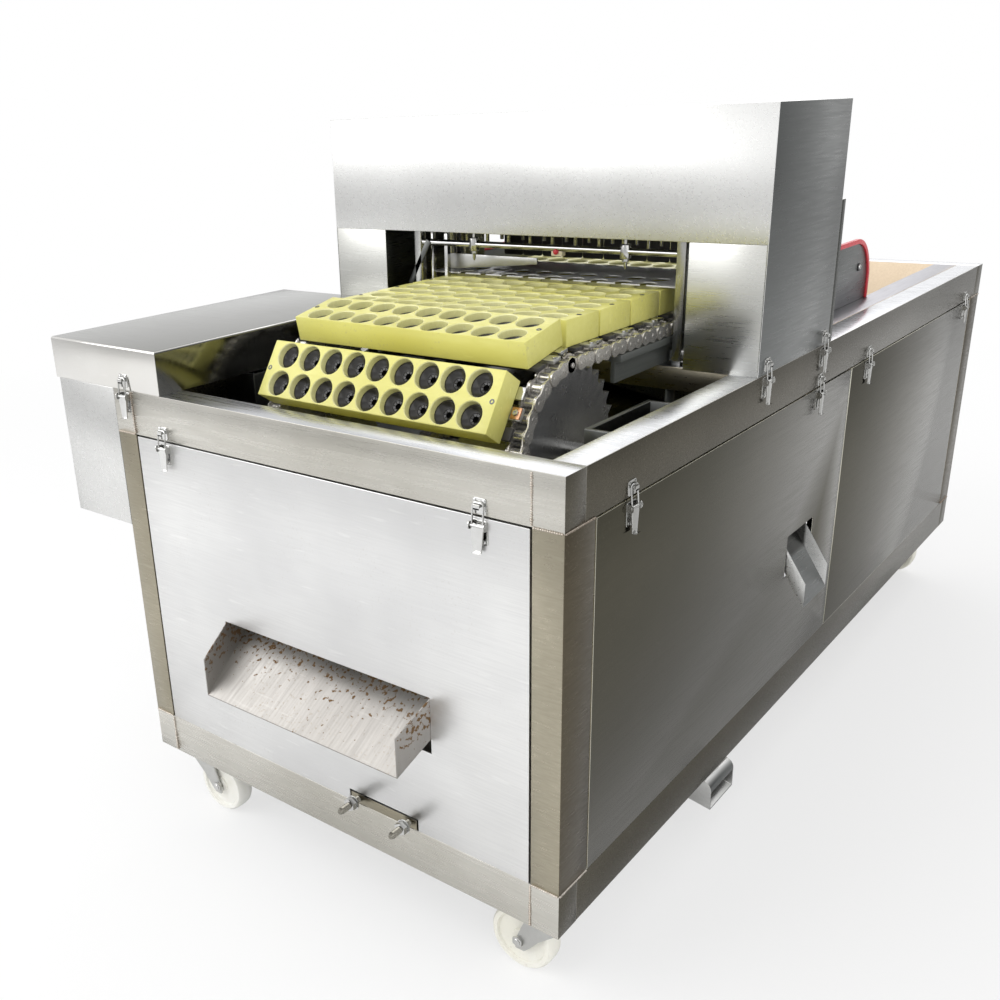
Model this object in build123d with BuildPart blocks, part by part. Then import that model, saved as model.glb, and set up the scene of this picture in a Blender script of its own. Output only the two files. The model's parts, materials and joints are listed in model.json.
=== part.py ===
from build123d import *

import os
from math import cos, pi, radians, sin, tan

os.makedirs("parts", exist_ok=True)

# A floor-standing cherry pitting machine: a tray conveyor carries the fruit under a
# punch head, the pits drop out at the side and the fruit at the front.
# The frame of the part: the origin is on the floor under the middle of the whole
# machine, +Z is up and the front faces -Y. All lengths are in millimetres.

# ---------------------------------------------------------------- cabinet
FRAME_WIDTH = 890.0
FRAME_LENGTH = 2022.0
FRAME_HEIGHT = 700.0
FLOOR_GAP = 142.0  # from the floor to the underside of the frame
POST_WIDE = 48.0
POST_DEEP = 76.0
RAIL_WIDE = 50.0
RAIL_TALL = 75.0
TUBE_WALL = 3.0
SHEET = 2.0
PANEL_FOLD = 12.0
PANEL_GAP = 3.0
PANEL_SPLIT = 1054.0  # from the front face to the joint of the right side panels
MID_POST = 36.0
VENT = 5.0  # half the width of the vent in each capped tube's hidden face
ROD_SIDES = 16  # flats round a bar, a bore or a hub
SMALL_SIDES = 12

# ---------------------------------------------------------------- side box
SIDE_BOX_REACH = 165.0  # how far the lid stands out past the frame's left side
SIDE_BOX_LIP = 9.0
SIDE_BOX_DROP = 249.0  # from the frame's top edge to the bottom of the box
LID_OVERLAP = 124.0  # how far the lid reaches over the frame
LID_TALL = 73.0
LID_ROUND = 4.0
DRIVE_WINDOW = (150.0, 120.0)  # opening between the box and the frame, Y and Z

# ---------------------------------------------------------------- tower
TOWER_FRONT = 581.0  # from the cabinet's front face
TOWER_DEPTH = 315.0
TOWER_RISE = 408.0
MOUTH_RISE = 205.0  # height of the tunnel mouth above the frame
PILLAR_WIDE = 129.0
REAR_COVER = (18.0, 247.0)  # depth and height of the boxes behind the columns

# ---------------------------------------------------------------- conveyor
CHAIN_PITCH = 25.4
SPROCKET_TEETH = 32
LINKS_PER_TRAY = 4
STRAND_TRAYS = 11  # trays in the length between the two shafts
SHAFT_BACK = 304.0  # front shaft, from the cabinet's front face
SHAFT_DROP = 73.0  # shaft centres, below the frame's top edge
CONVEYOR_SHIFT = 13.7  # conveyor's middle, right of the cabinet's middle
CHAIN_SPREAD = 490.0  # between the middles of the two chains
SHAFT_RADIUS = 12.5
SHAFT_REACH_RIGHT = 342.0  # right end of both shafts, from the conveyor's middle
SHAFT_REACH_FRONT_LEFT = 385.0
SHAFT_REACH_REAR_LEFT = 342.0
SPROCKET_WIDE = 17.5
HUB_RADIUS = 32.0
HUB_LENGTH = 34.0
ROLLER_RADIUS = 7.9
ROLLER_SIDES = 6
CHAIN_INNER = 19.0  # clear width between the plates
PLATE_THICK = 5.0
PLATE_TALL = 24.0
STRAND_GAP = 4.0  # play where a straight chain run meets a sprocket's run
LUG_WIDE = 40.0
LUG_OVERHANG = 4.0  # outer edge of a lug, past the middle of its chain
LUG_LONG = 20.0

# ---------------------------------------------------------------- trays
TRAY_LENGTH = 460.0
TRAY_WIDE = 97.0
TRAY_TALL = 42.0
TRAY_LIFT = 18.0  # underside above the chain's pitch line
POCKETS_ACROSS = 9
POCKET_ROWS = 2
POCKET_PITCH = 48.0
POCKET_ROW_PITCH = 48.6
POCKET_RADIUS = 22.0
POCKET_DEPTH = 34.0
POCKET_SIDES = 8
POCKET_TRAYS = 5  # trays of the upper run that are in view, with their pockets
ROLLER_LINKS = (12, 9)  # links in view, with their rollers, on the upper run and round the front

# ---------------------------------------------------------------- chain drive
GEAR_TEETH = 30
PINION_TEETH = 15
GEAR_MODULE = 5.0
GEAR_WIDE = 30.0
GEAR_OFFSET = 365.0  # gear's middle, left of the conveyor's middle
PINION_ANGLE = 315.0  # where the pinion lies round the gear, from +Y towards +Z
BRACKET_WIDE = 190.0
BRACKET_DROP = 60.0
BRACKET_SHEET = 8.0
RUNNING_FIT = 0.05  # radial clearance of a shaft in its bearing
SLIDING_GAP = 0.3

# ---------------------------------------------------------------- chutes
CHUTE_REACH = 65.0  # front chute's lip, in front of the cabinet
CHUTE_MIDDLE = 448.0  # from the cabinet's left side
CHUTE_LIP_WIDE = 415.0
CHUTE_FLARE = 0.385  # widening for each millimetre towards the back
CHUTE_LIP_FLOOR = 214.0  # underside of the lip above the frame's underside
CHUTE_SLOPE = 30.0
CHUTE_TALL = 68.0
CHUTE_TAIL = 205.0  # inner end, from the cabinet's front face
CHUTE_SLOT = (228.0, 322.0)  # bottom and top of the panel's slot
PIT_CHUTE_REACH = 38.0
PIT_CHUTE_START = 795.0  # from the cabinet's front face
PIT_CHUTE_WIDE = 118.0
PIT_CHUTE_TALL = 48.0
PIT_LIP_FLOOR = 225.0
PIT_CHUTE_SLOPE = 55.0
TROUGH_START = 645.0
TROUGH_FLOORS = (605.0, 522.0)  # floor heights at the left and the right end
TROUGH_WALL = 36.0
TROUGH_REACH = (252.0, 277.0)  # left and right ends, from the conveyor's middle
HANGER_WIDE = 30.0
SPOUT_WIDE = 95.0
SPOUT_START = 485.0
SPOUT_TALL = 55.0
SPOUT_REACH = 14.0
SPOUT_INSIDE = 110.0

# ---------------------------------------------------------------- punch head
HEAD_BACK = TOWER_FRONT + 104.0
HEAD_POST = 16.0
HEAD_POST_SPREAD = (550.0, 130.0)
BEAM_SIZE = 40.0
BEAMS_BACK = (620.0, 750.0, 1000.0, 1220.0)
STRIPPER_GAP = 4.0
STRIPPER_THICK = 2.5
STRIPPER_FRONT = 40.0  # how far the plate reaches in front of the needles' middle
STRIPPER_DEEP = 190.0
NEEDLE_RADIUS = 4.0
NEEDLE_LENGTH = 75.0
NEEDLE_LIFT = 64.0  # tips above the trays with the head up
HEAD_PLATE = (532.0, 96.0, 12.0)
HEAD_BEAM_LIFT = 8.0
HEAD_BEAM_THICK = 12.0
COLUMN_RADIUS = 10.0
COLUMN_SPREAD = 494.0
CYLINDER_RADIUS = 30.0
CYLINDER_TALL = 117.0
CYLINDER_SPREAD = 260.0
ROD_RADIUS = 9.0
CROSSBAR_RADIUS = 6.0
CROSSBAR_RISE = 181.0  # above the frame's top edge
CLAMP_PLACES = (-146.0, 170.0)

# ---------------------------------------------------------------- hopper
DECK_WIDE = 100.0
HOPPER_FALL = ((1972.0, 700.0), (1660.0, 424.0), (1530.0, 418.0))
GUARD_END = 1413.0
GUARD_RISE = 132.0
GUARD_ROUND = 95.0
GUARD_SHEET = 3.0
TRIM_WIDE = 10.0
TRIM_THICK = 9.0

# ---------------------------------------------------------------- latches
LATCH_WIDE = 26.0
LATCH_ABOVE = 27.0  # top of the catch plate, above the joint that the latch holds
LATCH_BELOW = 48.0
PIVOT_OUT = 7.0
PIVOT_DROP = 10.0
BAIL_WIRE = 3.0
HOOK = (10.0, 12.0, 20.0, 9.0)  # width, low and high edge above the joint, reach
LEVER_TIP_WIDE = 13.0
LEVER_SHEET = 3.0

# ---------------------------------------------------------------- casters
CASTER_INSET = 60.0
CASTER_TRAIL = 38.0
WHEEL_RADIUS = 55.0
WHEEL_WIDE = 34.0
WHEEL_SIDES = 40
CASTER_PLATE = 90.0
CASTER_PLATE_THICK = 5.0
RACE_RADIUS = 28.0
RACE_TALL = 10.0
FORK_SHEET = 4.0
FORK_GAP = 2.0
AXLE_RADIUS = 6.0

# ---------------------------------------------------------------- places that follow
CENTRE_X = (SIDE_BOX_REACH - PIT_CHUTE_REACH) / 2
LEFT = CENTRE_X - FRAME_WIDTH / 2
RIGHT = CENTRE_X + FRAME_WIDTH / 2
FRONT = (CHUTE_REACH - FRAME_LENGTH) / 2
BACK = FRONT + FRAME_LENGTH
MIDDLE_Y = (FRONT + BACK) / 2
BASE = FLOOR_GAP
TOP = BASE + FRAME_HEIGHT
TOWER_Y = (FRONT + TOWER_FRONT, FRONT + TOWER_FRONT + TOWER_DEPTH)
CONVEYOR_X = CENTRE_X + CONVEYOR_SHIFT
FRONT_SHAFT_Y = FRONT + SHAFT_BACK
SHAFT_Z = TOP - SHAFT_DROP
TRAY_PITCH = LINKS_PER_TRAY * CHAIN_PITCH
SHAFT_SPACING = STRAND_TRAYS * TRAY_PITCH
REAR_SHAFT_Y = FRONT_SHAFT_Y + SHAFT_SPACING
PITCH_RADIUS = CHAIN_PITCH / (2 * sin(pi / SPROCKET_TEETH))
LINK_ANGLE = 360 / SPROCKET_TEETH
TRAY_ANGLE = LINKS_PER_TRAY * LINK_ANGLE
TRAY_TOP = SHAFT_Z + PITCH_RADIUS + TRAY_LIFT + TRAY_TALL
CHAIN_XS = (CONVEYOR_X - CHAIN_SPREAD / 2, CONVEYOR_X + CHAIN_SPREAD / 2)
CHAIN_HALF = CHAIN_INNER / 2 + PLATE_THICK
GEAR_X = CONVEYOR_X - GEAR_OFFSET
HEAD_Y = FRONT + HEAD_BACK
RAIL_INSIDE = (LEFT + RAIL_WIDE, RIGHT - RAIL_WIDE)
BEAM_TOP = TOP - SHEET


def keep(part, name):
    """Label a finished piece and write it as its own file."""
    part.label = name
    export_step(part, f"parts/{name}.step")


def block(x, y, z, mode=Mode.ADD):
    """Add a block between two corners, given as (low, high) along X, Y and Z."""
    with Locations(((x[0] + x[1]) / 2, (y[0] + y[1]) / 2, (z[0] + z[1]) / 2)):
        Box(x[1] - x[0], y[1] - y[0], z[1] - z[0], mode=mode)


def shrunk(span, wall):
    """A (low, high) span with a wall taken off both ends."""
    return span[0] + wall, span[1] - wall


def rod(plane, radius, centre, length, mode, sides, snug=False):
    """Add or cut a round bar on a plane: a bar stays inside its radius, a bore outside it.

    A snug bore has the bar's own outline.
    """
    with BuildSketch(plane) as face:
        with Locations(centre):
            RegularPolygon(radius, sides, major_radius=snug or mode == Mode.ADD)
    extrude(face.sketch, amount=length, mode=mode)


def rod_x(radius, x, y, z, mode=Mode.ADD, sides=ROD_SIDES):
    """Add or cut a round bar along X between two ends."""
    rod(Plane.YZ.offset(x[0]), radius, (y, z), x[1] - x[0], mode, sides)


def rod_y(radius, x, y, z, mode=Mode.ADD, sides=ROD_SIDES):
    """Add or cut a round bar along Y between two ends."""
    rod(Plane.XZ.offset(-y[1]), radius, (x, z), y[1] - y[0], mode, sides)


def rod_z(radius, x, y, z, mode=Mode.ADD, sides=ROD_SIDES):
    """Add or cut a round bar along Z between two ends."""
    rod(Plane.XY.offset(z[0]), radius, (x, y), z[1] - z[0], mode, sides)


def prism(plane, points, amount, mode=Mode.ADD):
    """Add a straight prism on a plane, from the corners of its outline."""
    with BuildSketch(plane) as face:
        with BuildLine():
            Polyline(*points, close=True)
        make_face()
    extrude(face.sketch, amount=amount, mode=mode)


def turned_ring(centre, outline):
    """Corner points of an outline moved to a centre."""
    return [(centre[0] + y, centre[1] + z) for y, z in outline]


# ================================================================ frame
def frame_posts():
    """Four corner posts and a post behind the joint of the right side panels."""
    rise = FRAME_HEIGHT - 2 * RAIL_TALL
    with BuildPart() as posts:
        with BuildSketch(Plane.XY.offset(BASE + RAIL_TALL)):
            with Locations((CENTRE_X, MIDDLE_Y)):
                with GridLocations(FRAME_WIDTH - POST_WIDE, FRAME_LENGTH - POST_DEEP, 2, 2):
                    Rectangle(POST_WIDE, POST_DEEP)
                    Rectangle(
                        POST_WIDE - 2 * TUBE_WALL, POST_DEEP - 2 * TUBE_WALL, mode=Mode.SUBTRACT
                    )
            with Locations((RIGHT - PANEL_FOLD - SHEET - MID_POST / 2, FRONT + PANEL_SPLIT)):
                Rectangle(MID_POST, MID_POST)
                Rectangle(MID_POST - 2 * TUBE_WALL, MID_POST - 2 * TUBE_WALL, mode=Mode.SUBTRACT)
        extrude(amount=rise)
    return posts.part


def cross_rails():
    """The frame's four capped tubes across the front and the back, top and bottom."""
    with BuildPart() as rails:
        with BuildSketch(Plane.YZ.offset(LEFT)):
            with Locations((MIDDLE_Y, (BASE + TOP) / 2)):
                with GridLocations(FRAME_LENGTH - RAIL_WIDE, FRAME_HEIGHT - RAIL_TALL, 2, 2):
                    Rectangle(RAIL_WIDE, RAIL_TALL)
        extrude(amount=FRAME_WIDTH)
        with BuildSketch(Plane.YZ.offset(LEFT + TUBE_WALL)):
            with Locations((MIDDLE_Y, (BASE + TOP) / 2)):
                with GridLocations(FRAME_LENGTH - RAIL_WIDE, FRAME_HEIGHT - RAIL_TALL, 2, 2):
                    Rectangle(RAIL_WIDE - 2 * TUBE_WALL, RAIL_TALL - 2 * TUBE_WALL)
        extrude(amount=FRAME_WIDTH - 2 * TUBE_WALL, mode=Mode.SUBTRACT)
        vent_y = FRAME_LENGTH / 2 - RAIL_WIDE
        for side in (-1, 1):
            y = sorted((MIDDLE_Y + side * vent_y, MIDDLE_Y + side * (vent_y + 2 * TUBE_WALL)))
            for z in (BASE + RAIL_TALL / 2, TOP - RAIL_TALL / 2):
                block(
                    (CENTRE_X - VENT, CENTRE_X + VENT), y, (z - VENT, z + VENT), Mode.SUBTRACT
                )
    return rails.part


def side_rails():
    """The frame's four tubes along the sides, between the cross rails."""
    with BuildPart() as rails:
        with BuildSketch(Plane.XZ.offset(-(FRONT + RAIL_WIDE))):
            with Locations((CENTRE_X, (BASE + TOP) / 2)):
                with GridLocations(FRAME_WIDTH - RAIL_WIDE, FRAME_HEIGHT - RAIL_TALL, 2, 2):
                    Rectangle(RAIL_WIDE, RAIL_TALL)
                    Rectangle(
                        RAIL_WIDE - 2 * TUBE_WALL, RAIL_TALL - 2 * TUBE_WALL, mode=Mode.SUBTRACT
                    )
        extrude(amount=-(FRAME_LENGTH - 2 * RAIL_WIDE))
    return rails.part


def cross_beams():
    """Tubes across the cabinet that carry the chain guides and the punch head."""
    with BuildPart() as beams:
        for back in BEAMS_BACK:
            y = FRONT + back
            outer_y = (y - BEAM_SIZE / 2, y + BEAM_SIZE / 2)
            outer_z = (BEAM_TOP - BEAM_SIZE, BEAM_TOP)
            block(RAIL_INSIDE, outer_y, outer_z)
            block(
                RAIL_INSIDE, shrunk(outer_y, TUBE_WALL), shrunk(outer_z, TUBE_WALL), Mode.SUBTRACT
            )
    return beams.part


# ================================================================ panels
PANEL_Z = (BASE + RAIL_TALL, TOP - RAIL_TALL - PANEL_GAP)


def front_panel():
    """Folded sheet in the front opening, with the slot of the chute and the stud notch."""
    x = (LEFT + POST_WIDE + PANEL_GAP, RIGHT - POST_WIDE - PANEL_GAP)
    y = (FRONT, FRONT + PANEL_FOLD)
    slot_low, slot_high = CHUTE_SLOT
    slot_wide = chute_wide(SHEET)
    chute_x = LEFT + CHUTE_MIDDLE
    with BuildPart() as panel:
        block(x, y, PANEL_Z)
        block(shrunk(x, SHEET), (y[0] + SHEET, y[1]), shrunk(PANEL_Z, SHEET), Mode.SUBTRACT)
        block(
            (chute_x - slot_wide / 2, chute_x + slot_wide / 2),
            y,
            (BASE + slot_low, BASE + slot_high),
            Mode.SUBTRACT,
        )
        stud_x = LEFT + STUD_MIDDLE
        block(
            (stud_x - STUD_PLATE[0] / 2 - PANEL_GAP, stud_x + STUD_PLATE[0] / 2 + PANEL_GAP),
            y,
            (PANEL_Z[0], PANEL_Z[0] + STUD_PLATE[1] + PANEL_GAP),
            Mode.SUBTRACT,
        )
    return panel.part


def side_panel(y, slot=None):
    """Folded sheet in the right side, from one Y to another, with an optional slot."""
    x = (RIGHT - PANEL_FOLD, RIGHT)
    with BuildPart() as panel:
        block(x, y, PANEL_Z)
        block((x[0], x[1] - SHEET), shrunk(y, SHEET), shrunk(PANEL_Z, SHEET), Mode.SUBTRACT)
        if slot:
            block(x, slot[0], slot[1], Mode.SUBTRACT)
    return panel.part


def fixed_panels():
    """The sheets of the left side, cut away at the side box, and of the back."""
    low, high = PANEL_Z
    y_front = FRONT + POST_DEEP + PANEL_GAP
    y_back = BACK - POST_DEEP - PANEL_GAP
    box_back = TOWER_Y[0] + PANEL_GAP
    box_low = TOP - SIDE_BOX_DROP - PANEL_GAP
    with BuildPart() as panels:
        with BuildSketch(Plane.YZ.offset(LEFT)) as outline:
            with BuildLine():
                Polyline(
                    (y_front, low), (y_back, low), (y_back, high), (box_back, high),
                    (box_back, box_low), (y_front, box_low), close=True,
                )
            make_face()
        extrude(amount=PANEL_FOLD)
        with BuildSketch(Plane.YZ.offset(LEFT + SHEET)):
            add(outline.sketch_local)
            offset(amount=-SHEET, mode=Mode.REPLACE)
        extrude(amount=PANEL_FOLD - SHEET, mode=Mode.SUBTRACT)
        back_x = (LEFT + POST_WIDE + PANEL_GAP, RIGHT - POST_WIDE - PANEL_GAP)
        block(back_x, (BACK - PANEL_FOLD, BACK), PANEL_Z)
        block(
            shrunk(back_x, SHEET),
            (BACK - PANEL_FOLD, BACK - SHEET),
            shrunk(PANEL_Z, SHEET),
            Mode.SUBTRACT,
        )
    return panels.part


# ================================================================ side box
def side_box():
    """Open-topped sheet box on the left, which houses the gear motor."""
    x = (LEFT - SIDE_BOX_REACH + SIDE_BOX_LIP, LEFT)
    y = (FRONT, TOWER_Y[0])
    z = (TOP - SIDE_BOX_DROP, TOP)
    pinion_y, pinion_z = pinion_centre()
    with BuildPart() as box:
        block(x, y, z)
        block(shrunk(x, SHEET), shrunk(y, SHEET), (z[0] + SHEET, z[1]), Mode.SUBTRACT)
        block(
            (x[1] - SHEET, x[1]),
            (pinion_y - DRIVE_WINDOW[0] / 2, pinion_y + DRIVE_WINDOW[0] / 2),
            (pinion_z - DRIVE_WINDOW[1] / 2, pinion_z + DRIVE_WINDOW[1] / 2),
            Mode.SUBTRACT,
        )
    return box.part


def side_box_lid():
    """Deep lid over the side box and the drive gear, rounded along its top edges."""
    x = (LEFT - SIDE_BOX_REACH, LEFT + LID_OVERLAP)
    y = (FRONT, TOWER_Y[0] - SLIDING_GAP)
    z = (TOP, TOP + LID_TALL)
    with BuildPart() as lid:
        block(x, y, z)
        fillet(lid.edges().group_by(Axis.Z)[-1], LID_ROUND)
        block(shrunk(x, SHEET), shrunk(y, SHEET), (z[0], z[1] - SHEET), Mode.SUBTRACT)
    return lid.part


# ================================================================ tower
def hood_shell():
    """Housing over the punch head: top, sides down to the frame, upper front and back."""
    x = (LEFT, RIGHT)
    z = (TOP, TOP + TOWER_RISE)
    with BuildPart() as hood:
        block(x, TOWER_Y, z)
        block(shrunk(x, SHEET), shrunk(TOWER_Y, SHEET), (z[0], z[1] - SHEET), Mode.SUBTRACT)
        block(shrunk(x, SHEET), TOWER_Y, (TOP, TOP + MOUTH_RISE), Mode.SUBTRACT)
    return hood.part


def pillar_covers():
    """The two hollow columns beside the tunnel mouth, each with a box on its back."""
    z = (TOP, TOP + MOUTH_RISE)
    with BuildPart() as covers:
        for x in (
            (LEFT + SHEET, LEFT + PILLAR_WIDE),
            (RIGHT - PILLAR_WIDE, RIGHT - SHEET),
        ):
            block(x, TOWER_Y, z)
            block(shrunk(x, SHEET), shrunk(TOWER_Y, SHEET), z, Mode.SUBTRACT)
        for x in ((LEFT, LEFT + PILLAR_WIDE), (RIGHT - PILLAR_WIDE, RIGHT)):
            y = (TOWER_Y[1], TOWER_Y[1] + REAR_COVER[0])
            block(x, y, (TOP, TOP + REAR_COVER[1]))
            block(
                shrunk(x, 2 * SHEET), (y[0], y[1] - SHEET), (TOP, TOP + REAR_COVER[1] - SHEET),
                Mode.SUBTRACT,
            )
    return covers.part


# ================================================================ hopper
def guard_xs():
    """Where the two guard plates stand: the inner edges of the deck strips."""
    return LEFT + DECK_WIDE - GUARD_SHEET, RIGHT - DECK_WIDE


def guard_line(margin):
    """Edge of a guard plate, shrunk by a margin along its top and its rear end."""
    low_y, high_y = TOWER_Y[1] + REAR_COVER[0], FRONT + GUARD_END - margin
    top_z = TOP + GUARD_RISE - margin
    bend = GUARD_ROUND - margin
    with BuildLine() as edge:
        Polyline((high_y, top_z - bend), (high_y, TOP), (low_y, TOP), (low_y, top_z),
                 (high_y - bend, top_z))
        RadiusArc((high_y - bend, top_z), (high_y, top_z - bend), bend)
    return edge.line


def hopper_guards():
    """Upright plates beside the rear trays, standing on the deck strips."""
    with BuildPart() as guards:
        for x in guard_xs():
            with BuildSketch(Plane.YZ.offset(x)):
                with BuildLine():
                    add(guard_line(TRIM_WIDE))
                make_face()
            extrude(amount=GUARD_SHEET)
    return guards.part


def guard_trim():
    """Rubber edging along the top and the rear end of each guard plate."""
    side = (TRIM_THICK - GUARD_SHEET) / 2
    with BuildPart() as trim:
        for x in guard_xs():
            for margin, mode in ((0, Mode.ADD), (TRIM_WIDE, Mode.SUBTRACT)):
                with BuildSketch(Plane.YZ.offset(x - side)):
                    with BuildLine():
                        add(guard_line(margin))
                    make_face()
                extrude(amount=TRIM_THICK, mode=mode)
    return trim.part


def hopper():
    """Deck strips along the sides and the sloping infeed trough behind the conveyor."""
    deck_z = (TOP - SHEET, TOP)
    inner_x = (LEFT + DECK_WIDE, RIGHT - DECK_WIDE)
    fall = [(FRONT + y, BASE + z) for y, z in HOPPER_FALL]
    rim_y, rim_z = fall[0]
    wide = inner_x[1] - inner_x[0]
    inside = [(y - SHEET, z + SHEET) for y, z in fall]
    with BuildPart() as trough:
        prism(Plane.YZ.offset(inner_x[0]), [*fall, (fall[-1][0], rim_z)], wide)
        prism(
            Plane.YZ.offset(inner_x[0] + SHEET),
            [*inside, (inside[-1][0], rim_z + SHEET)],
            wide - 2 * SHEET,
            Mode.SUBTRACT,
        )
        for x in ((RAIL_INSIDE[0], inner_x[0]), (inner_x[1], RAIL_INSIDE[1])):
            block(x, (TOWER_Y[1], rim_y), deck_z)
    return trough.part


# ================================================================ conveyor
def tray(pockets):
    """One carrier tray round the origin, its underside on z = 0, with or without pockets."""
    with BuildPart() as body:
        with Locations((CONVEYOR_X, 0, 0)):
            Box(TRAY_LENGTH, TRAY_WIDE, TRAY_TALL, align=(Align.CENTER, Align.CENTER, Align.MIN))
        if pockets:
            with BuildSketch(Plane.XY.offset(TRAY_TALL)):
                with Locations((CONVEYOR_X, 0)):
                    with GridLocations(
                        POCKET_PITCH, POCKET_ROW_PITCH, POCKETS_ACROSS, POCKET_ROWS
                    ):
                        RegularPolygon(POCKET_RADIUS, POCKET_SIDES, rotation=180 / POCKET_SIDES)
            extrude(amount=-POCKET_DEPTH, mode=Mode.SUBTRACT)
    return body.part


def upper_place(distance):
    """Location of something on the upper run, at a distance behind the front shaft."""
    return Location((0, FRONT_SHAFT_Y + distance, SHAFT_Z + PITCH_RADIUS))


def lower_place(distance):
    """Location of something on the lower run, upside down."""
    return Location((0, FRONT_SHAFT_Y + distance, SHAFT_Z - PITCH_RADIUS), (180, 0, 0))


def arc_place(shaft_y, angle):
    """Location on a sprocket, at an angle from the top towards the front."""
    a = radians(angle)
    return Location(
        (0, shaft_y - PITCH_RADIUS * sin(a), SHAFT_Z + PITCH_RADIUS * cos(a)), (angle, 0, 0)
    )


# Trays stand one link past each shaft's top, so the first one has started to tip over.
FIRST_ANGLE = LINK_ANGLE
UPPER_TRAYS = [TRAY_PITCH - CHAIN_PITCH + i * TRAY_PITCH for i in range(STRAND_TRAYS)]
LOWER_TRAYS = [CHAIN_PITCH + i * TRAY_PITCH for i in range(STRAND_TRAYS)]
FRONT_ARC_TRAYS = [FIRST_ANGLE + i * TRAY_ANGLE for i in range(4)]
REAR_ARC_TRAYS = [-(TRAY_ANGLE - FIRST_ANGLE + i * TRAY_ANGLE) for i in range(4)]


def tray_set(places, pocketed):
    """Trays at a list of places, the chosen ones with pockets."""
    lift = Location((0, 0, TRAY_LIFT))
    plain, full = tray(False), tray(True)
    with BuildPart() as trays:
        for i, place in enumerate(places):
            add((full if i in pocketed else plain).moved(place * lift))
    return trays.part


def lug_blocks(places):
    """Attachment lugs between the chain plates and the trays' undersides."""
    low, high = PLATE_TALL / 2, TRAY_LIFT
    for side, chain_x in zip((1, -1), CHAIN_XS):
        middle = chain_x + side * (LUG_WIDE / 2 - LUG_OVERHANG)
        for place in places:
            spot = Location((middle, 0, (low + high) / 2))
            with Locations(place * spot):
                Box(LUG_WIDE, LUG_LONG, high - low)


def straight_chain(place, y, trays, rollers):
    """Two straight chain runs: plates, the rollers of the first links and the tray lugs."""
    level = place(0).position.Z
    span = (FRONT_SHAFT_Y + y[0], FRONT_SHAFT_Y + y[1])
    half = PLATE_TALL / 2
    with BuildPart() as chain:
        for chain_x in CHAIN_XS:
            for side in (-1, 1):
                inner = chain_x + side * CHAIN_INNER / 2
                outer = inner + side * PLATE_THICK
                block((min(inner, outer), max(inner, outer)), span, (level - half, level + half))
            if rollers:
                with BuildSketch(Plane.YZ.offset(chain_x - CHAIN_INNER / 2)):
                    with Locations(
                        *[(FRONT_SHAFT_Y + i * CHAIN_PITCH, level) for i in range(1, rollers + 1)]
                    ):
                        RegularPolygon(ROLLER_RADIUS, ROLLER_SIDES, rotation=90)
                extrude(amount=CHAIN_INNER)
        lug_blocks([place(distance) for distance in trays])
    return chain.part


def arc_outline(radius, start):
    """Corner points of half a chain wheel at one radius, a corner at each link."""
    return [
        (radius * cos(radians(start + i * LINK_ANGLE)), radius * sin(radians(start + i * LINK_ANGLE)))
        for i in range(SPROCKET_TEETH // 2 + 1)
    ]


def arc_chain(shaft_y, side, trays, rollers):
    """Two chain runs round half a sprocket, on the front (1) or the rear (-1) side."""
    start = 90 if side > 0 else 270
    half = PLATE_TALL / 2
    with BuildPart() as chain:
        for chain_x in CHAIN_XS:
            for plate_x in (chain_x - CHAIN_HALF, chain_x + CHAIN_INNER / 2):
                ring = [
                    *arc_outline(PITCH_RADIUS + half, start),
                    *reversed(arc_outline(PITCH_RADIUS - half, start)),
                ]
                prism(Plane.YZ.offset(plate_x), turned_ring((shaft_y, SHAFT_Z), ring), PLATE_THICK)
            if rollers:
                with BuildSketch(Plane.YZ.offset(chain_x - CHAIN_INNER / 2)):
                    with Locations((shaft_y, SHAFT_Z)):
                        with PolarLocations(PITCH_RADIUS, rollers, start + LINK_ANGLE,
                                            (rollers - 1) * LINK_ANGLE, endpoint=True):
                            RegularPolygon(ROLLER_RADIUS, ROLLER_SIDES)
                extrude(amount=CHAIN_INNER)
        lug_blocks([arc_place(shaft_y, angle) for angle in trays])
    return chain.part


def sprocket_outline():
    """Corner points of a toothed wheel with a seat at each link's roller."""
    root = PITCH_RADIUS - ROLLER_RADIUS - SLIDING_GAP
    tip = PITCH_RADIUS + 0.42 * ROLLER_RADIUS * 2
    seat = LINK_ANGLE * 0.27
    points = []
    for i in range(SPROCKET_TEETH):
        middle = 90 + i * LINK_ANGLE
        for angle, radius in ((-seat, root), (seat, root), (LINK_ANGLE / 2, tip)):
            a = radians(middle + angle)
            points.append((radius * cos(a), radius * sin(a)))
    return points


def conveyor_shaft(shaft_y, reach_left):
    """A shaft with its two toothed wheels and their hubs."""
    with BuildPart() as shaft:
        rod_x(
            SHAFT_RADIUS, (CONVEYOR_X - reach_left, CONVEYOR_X + SHAFT_REACH_RIGHT), shaft_y, SHAFT_Z
        )
        for chain_x, hub_side in zip(CHAIN_XS, (1, -1)):
            prism(
                Plane.YZ.offset(chain_x - SPROCKET_WIDE / 2),
                turned_ring((shaft_y, SHAFT_Z), sprocket_outline()),
                SPROCKET_WIDE,
            )
            hub = (chain_x, chain_x + hub_side * HUB_LENGTH)
            rod_x(HUB_RADIUS, (min(hub), max(hub)), shaft_y, SHAFT_Z)
    return shaft.part


# ================================================================ drive
def pinion_centre():
    """Centre of the pinion, in mesh with the gear on the front shaft."""
    reach = (GEAR_TEETH + PINION_TEETH) * GEAR_MODULE / 2
    a = radians(PINION_ANGLE)
    return FRONT_SHAFT_Y + reach * cos(a), SHAFT_Z + reach * sin(a)


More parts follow.
